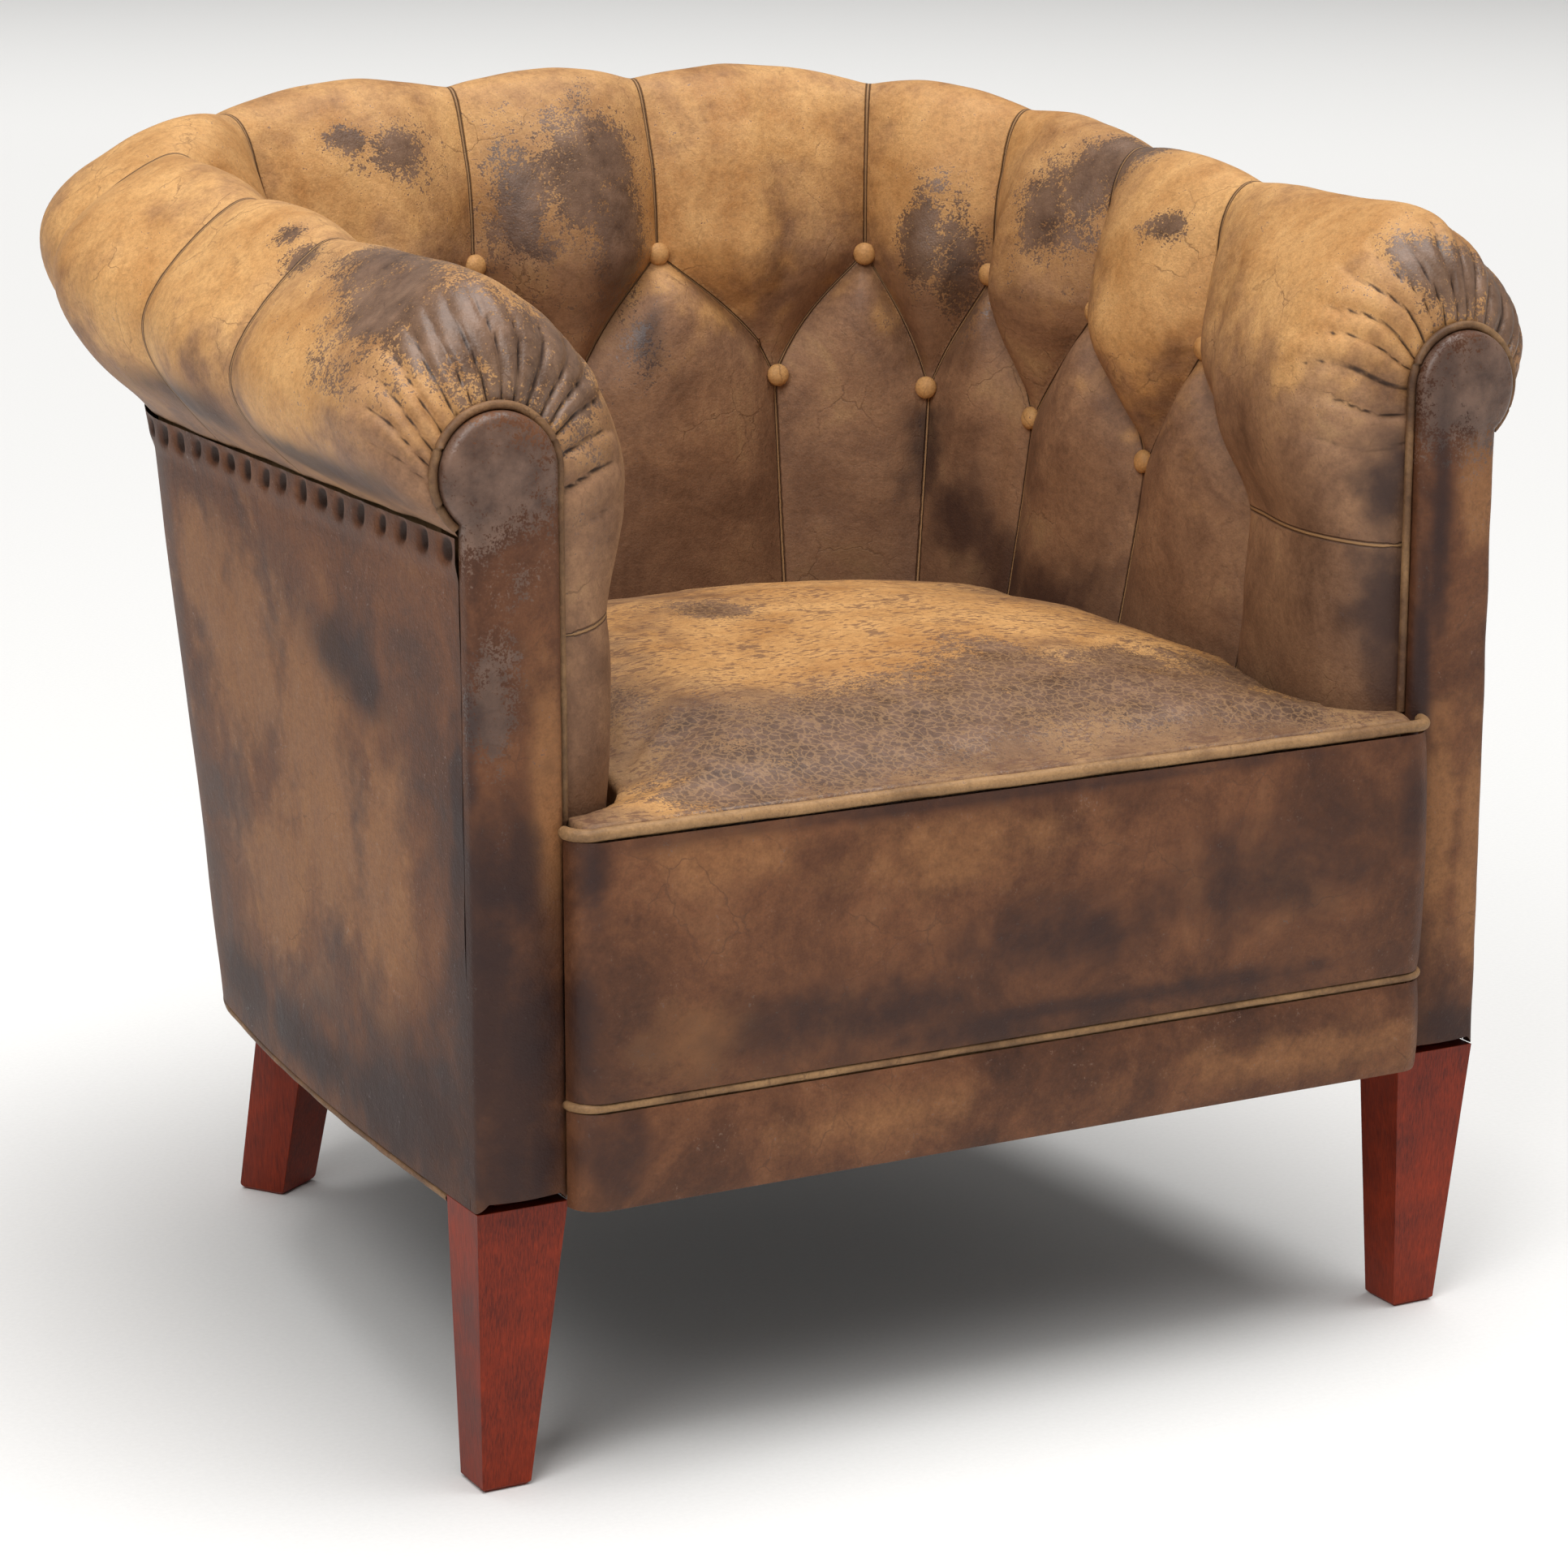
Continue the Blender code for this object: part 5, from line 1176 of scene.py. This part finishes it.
def seat_pad():
    """The crowned seat, swollen by its stuffing."""
    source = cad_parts["seat_cover"]
    piece = bpy.data.objects.new("sprung_seat", source.data.copy())
    bpy.context.scene.collection.objects.link(piece)
    remesh = piece.modifiers.new("remesh", "REMESH")
    remesh.mode = "VOXEL"
    remesh.voxel_size = SEAT_VOXEL
    graph = bpy.context.evaluated_depsgraph_get()
    piece.data = bpy.data.meshes.new_from_object(piece.evaluated_get(graph))
    piece.modifiers.clear()
    piece.data.name = "sprung_seat"
    piece.data.materials.clear()
    piece.data.materials.append(seat_leather)
    piece.data.shade_smooth()
    points, move = stuffed(piece, SEAT_PRESSURE, SEAT_SWELL)
    low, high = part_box("seat_cover")
    # The underside and the sewn edges stay where they are, and the top swells freely
    inner = np.minimum(np.minimum(points[:, 0] - low.x, high.x - points[:, 0]),
                       np.minimum(points[:, 1] - low.y, high.y - points[:, 1]))
    upper = smoothstep((points[:, 2] - low.z - 0.022) / 0.012)
    free = smoothstep((inner - 0.004) / 0.05) * upper
    uneven = lumps(points, 0.11, 2.0) * 0.0030 + lumps(points, 0.04, 4.0) * 0.0009
    points = points + np.array([0, 0, 1]) * (move[:, 2:3] + uneven[:, None]) * free[:, None]
    piece.data.vertices.foreach_set("co", points.ravel())
    wear_and_shade = wear_and_shade_values(points, SEAT_GOLD, SEAT_PATINA, [])
    for label, values in (("wear_and_shade", wear_and_shade), ("pleat", no_pleat(points))):
        layer = piece.data.attributes.new(label, "FLOAT_VECTOR", "POINT")
        layer.data.foreach_set("vector", values.astype(np.float32).ravel())
    piece.data.update()
    finish_piece(piece, "worn_tan_leather", "seat_cover", fill=0.7)


def dress_kept_nodes():
    """Give the wood, springs, stuffing and cloth of the frame their finishes, where they stand."""
    kept = {"front_post_left": stained_beech, "front_post_right": stained_beech,
            "rear_leg_left": stained_beech, "rear_leg_right": stained_beech,
            "arm_and_back_stuffing": coir, "seat_stuffing": coir, "spring_hessian": jute,
            "seat_webbing": jute, "dust_cover": black_cloth}
    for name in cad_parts:
        if name.startswith("seat_spring"):
            kept[name] = spring_steel
        if "rail" in name or "upright" in name:
            kept[name] = raw_beech
    for name, finish in kept.items():
        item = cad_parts[name]
        item.data.materials.clear()
        item.data.materials.append(finish)
        if finish is stained_beech:
            # Edges of the legs, rounded by wear
            weld = item.modifiers.new("weld", "WELD")
            weld.merge_threshold = 0.00005
            bevel = item.modifiers.new("bevel", "BEVEL")
            bevel.width = 0.0015
            bevel.segments = 3
            bevel.limit_method = "ANGLE"


def camera_and_light():
    """The photograph's point of view, under a soft studio light."""
    camera = bpy.data.objects.new("photo_camera", bpy.data.cameras.new("photo_camera"))
    bpy.context.scene.collection.objects.link(camera)
    back = Vector((math.sin(CAMERA_TURN) * math.cos(CAMERA_TILT),
                   -math.cos(CAMERA_TURN) * math.cos(CAMERA_TILT), math.sin(CAMERA_TILT)))
    camera.location = CAMERA_PLACE
    camera.rotation_mode = "QUATERNION"
    camera.rotation_quaternion = (-back).to_track_quat("-Z", "Y")
    camera.data.lens = CAMERA_LENS
    camera.data.sensor_width = 36.0
    bpy.context.scene.camera = camera
    world = bpy.data.worlds.new("studio")
    bpy.context.scene.world = world
    world.use_nodes = True
    background = world.node_tree.nodes["Background"]
    background.inputs["Color"].default_value = (1, 1, 1, 1)
    background.inputs["Strength"].default_value = WORLD_LIGHT
    for name, kind, place, size, power in LIGHTS:
        lamp = bpy.data.objects.new(name, bpy.data.lights.new(name, kind))
        bpy.context.scene.collection.objects.link(lamp)
        if kind == "SUN":
            lamp.data.angle = size
        else:
            lamp.data.size = size
        lamp.data.energy = power
        lamp.location = place
        aim = Vector(LIGHT_AIM) - Vector(place)
        lamp.rotation_mode = "QUATERNION"
        lamp.rotation_quaternion = aim.to_track_quat("-Z", "Y")


def studio():
    """A round white paper floor, and a bright paper wall round it that only the camera sees."""
    turns = [math.tau * step / STUDIO_SIDES for step in range(STUDIO_SIDES)]
    rim = [(STUDIO_RADIUS * math.cos(turn), STUDIO_RADIUS * math.sin(turn)) for turn in turns]
    floor_points = [(x, y, 0) for x, y in rim]
    wall_points = floor_points + [(x, y, STUDIO_RADIUS) for x, y in rim]
    for name, glow, points, faces in (
            ("paper_floor", 0.0, floor_points, [list(range(STUDIO_SIDES))]),
            ("paper_wall", WALL_GLOW, wall_points, grid_faces(2, STUDIO_SIDES, closed=True))):
        made, tree, shader = new_material("white_" + name)
        place = add(tree, "ShaderNodeTexCoord").outputs["Object"]
        # Matt background paper: clumps of pressed fibre, 3 mm across, just break up the white
        fibre = add(tree, "ShaderNodeTexNoise", {"Vector": place, "Scale": 300.0}).outputs[0]
        colour = add(tree, "ShaderNodeMix", {0: fibre, 6: hexed("#DCDBD9"), 7: hexed("#E4E3E1")},
                     data_type="RGBA").outputs[2]
        tree.links.new(colour, shader.inputs["Base Color"])
        shader.inputs["Roughness"].default_value = 0.9
        shader.inputs["Emission Color"].default_value = (1, 1, 1, 1)
        shader.inputs["Emission Strength"].default_value = glow
        sheet = mesh_object(name, points, faces, made, smooth=False)
        if glow:
            sheet.visible_diffuse = False
            sheet.visible_glossy = False


camera_and_light()
studio()
tub_lining()
leather_buttons()
scroll_facings()
front_panels()
pipings()
outer_leather()
seat_pad()
dress_kept_nodes()
bpy.context.scene.view_settings.view_transform = "Standard"
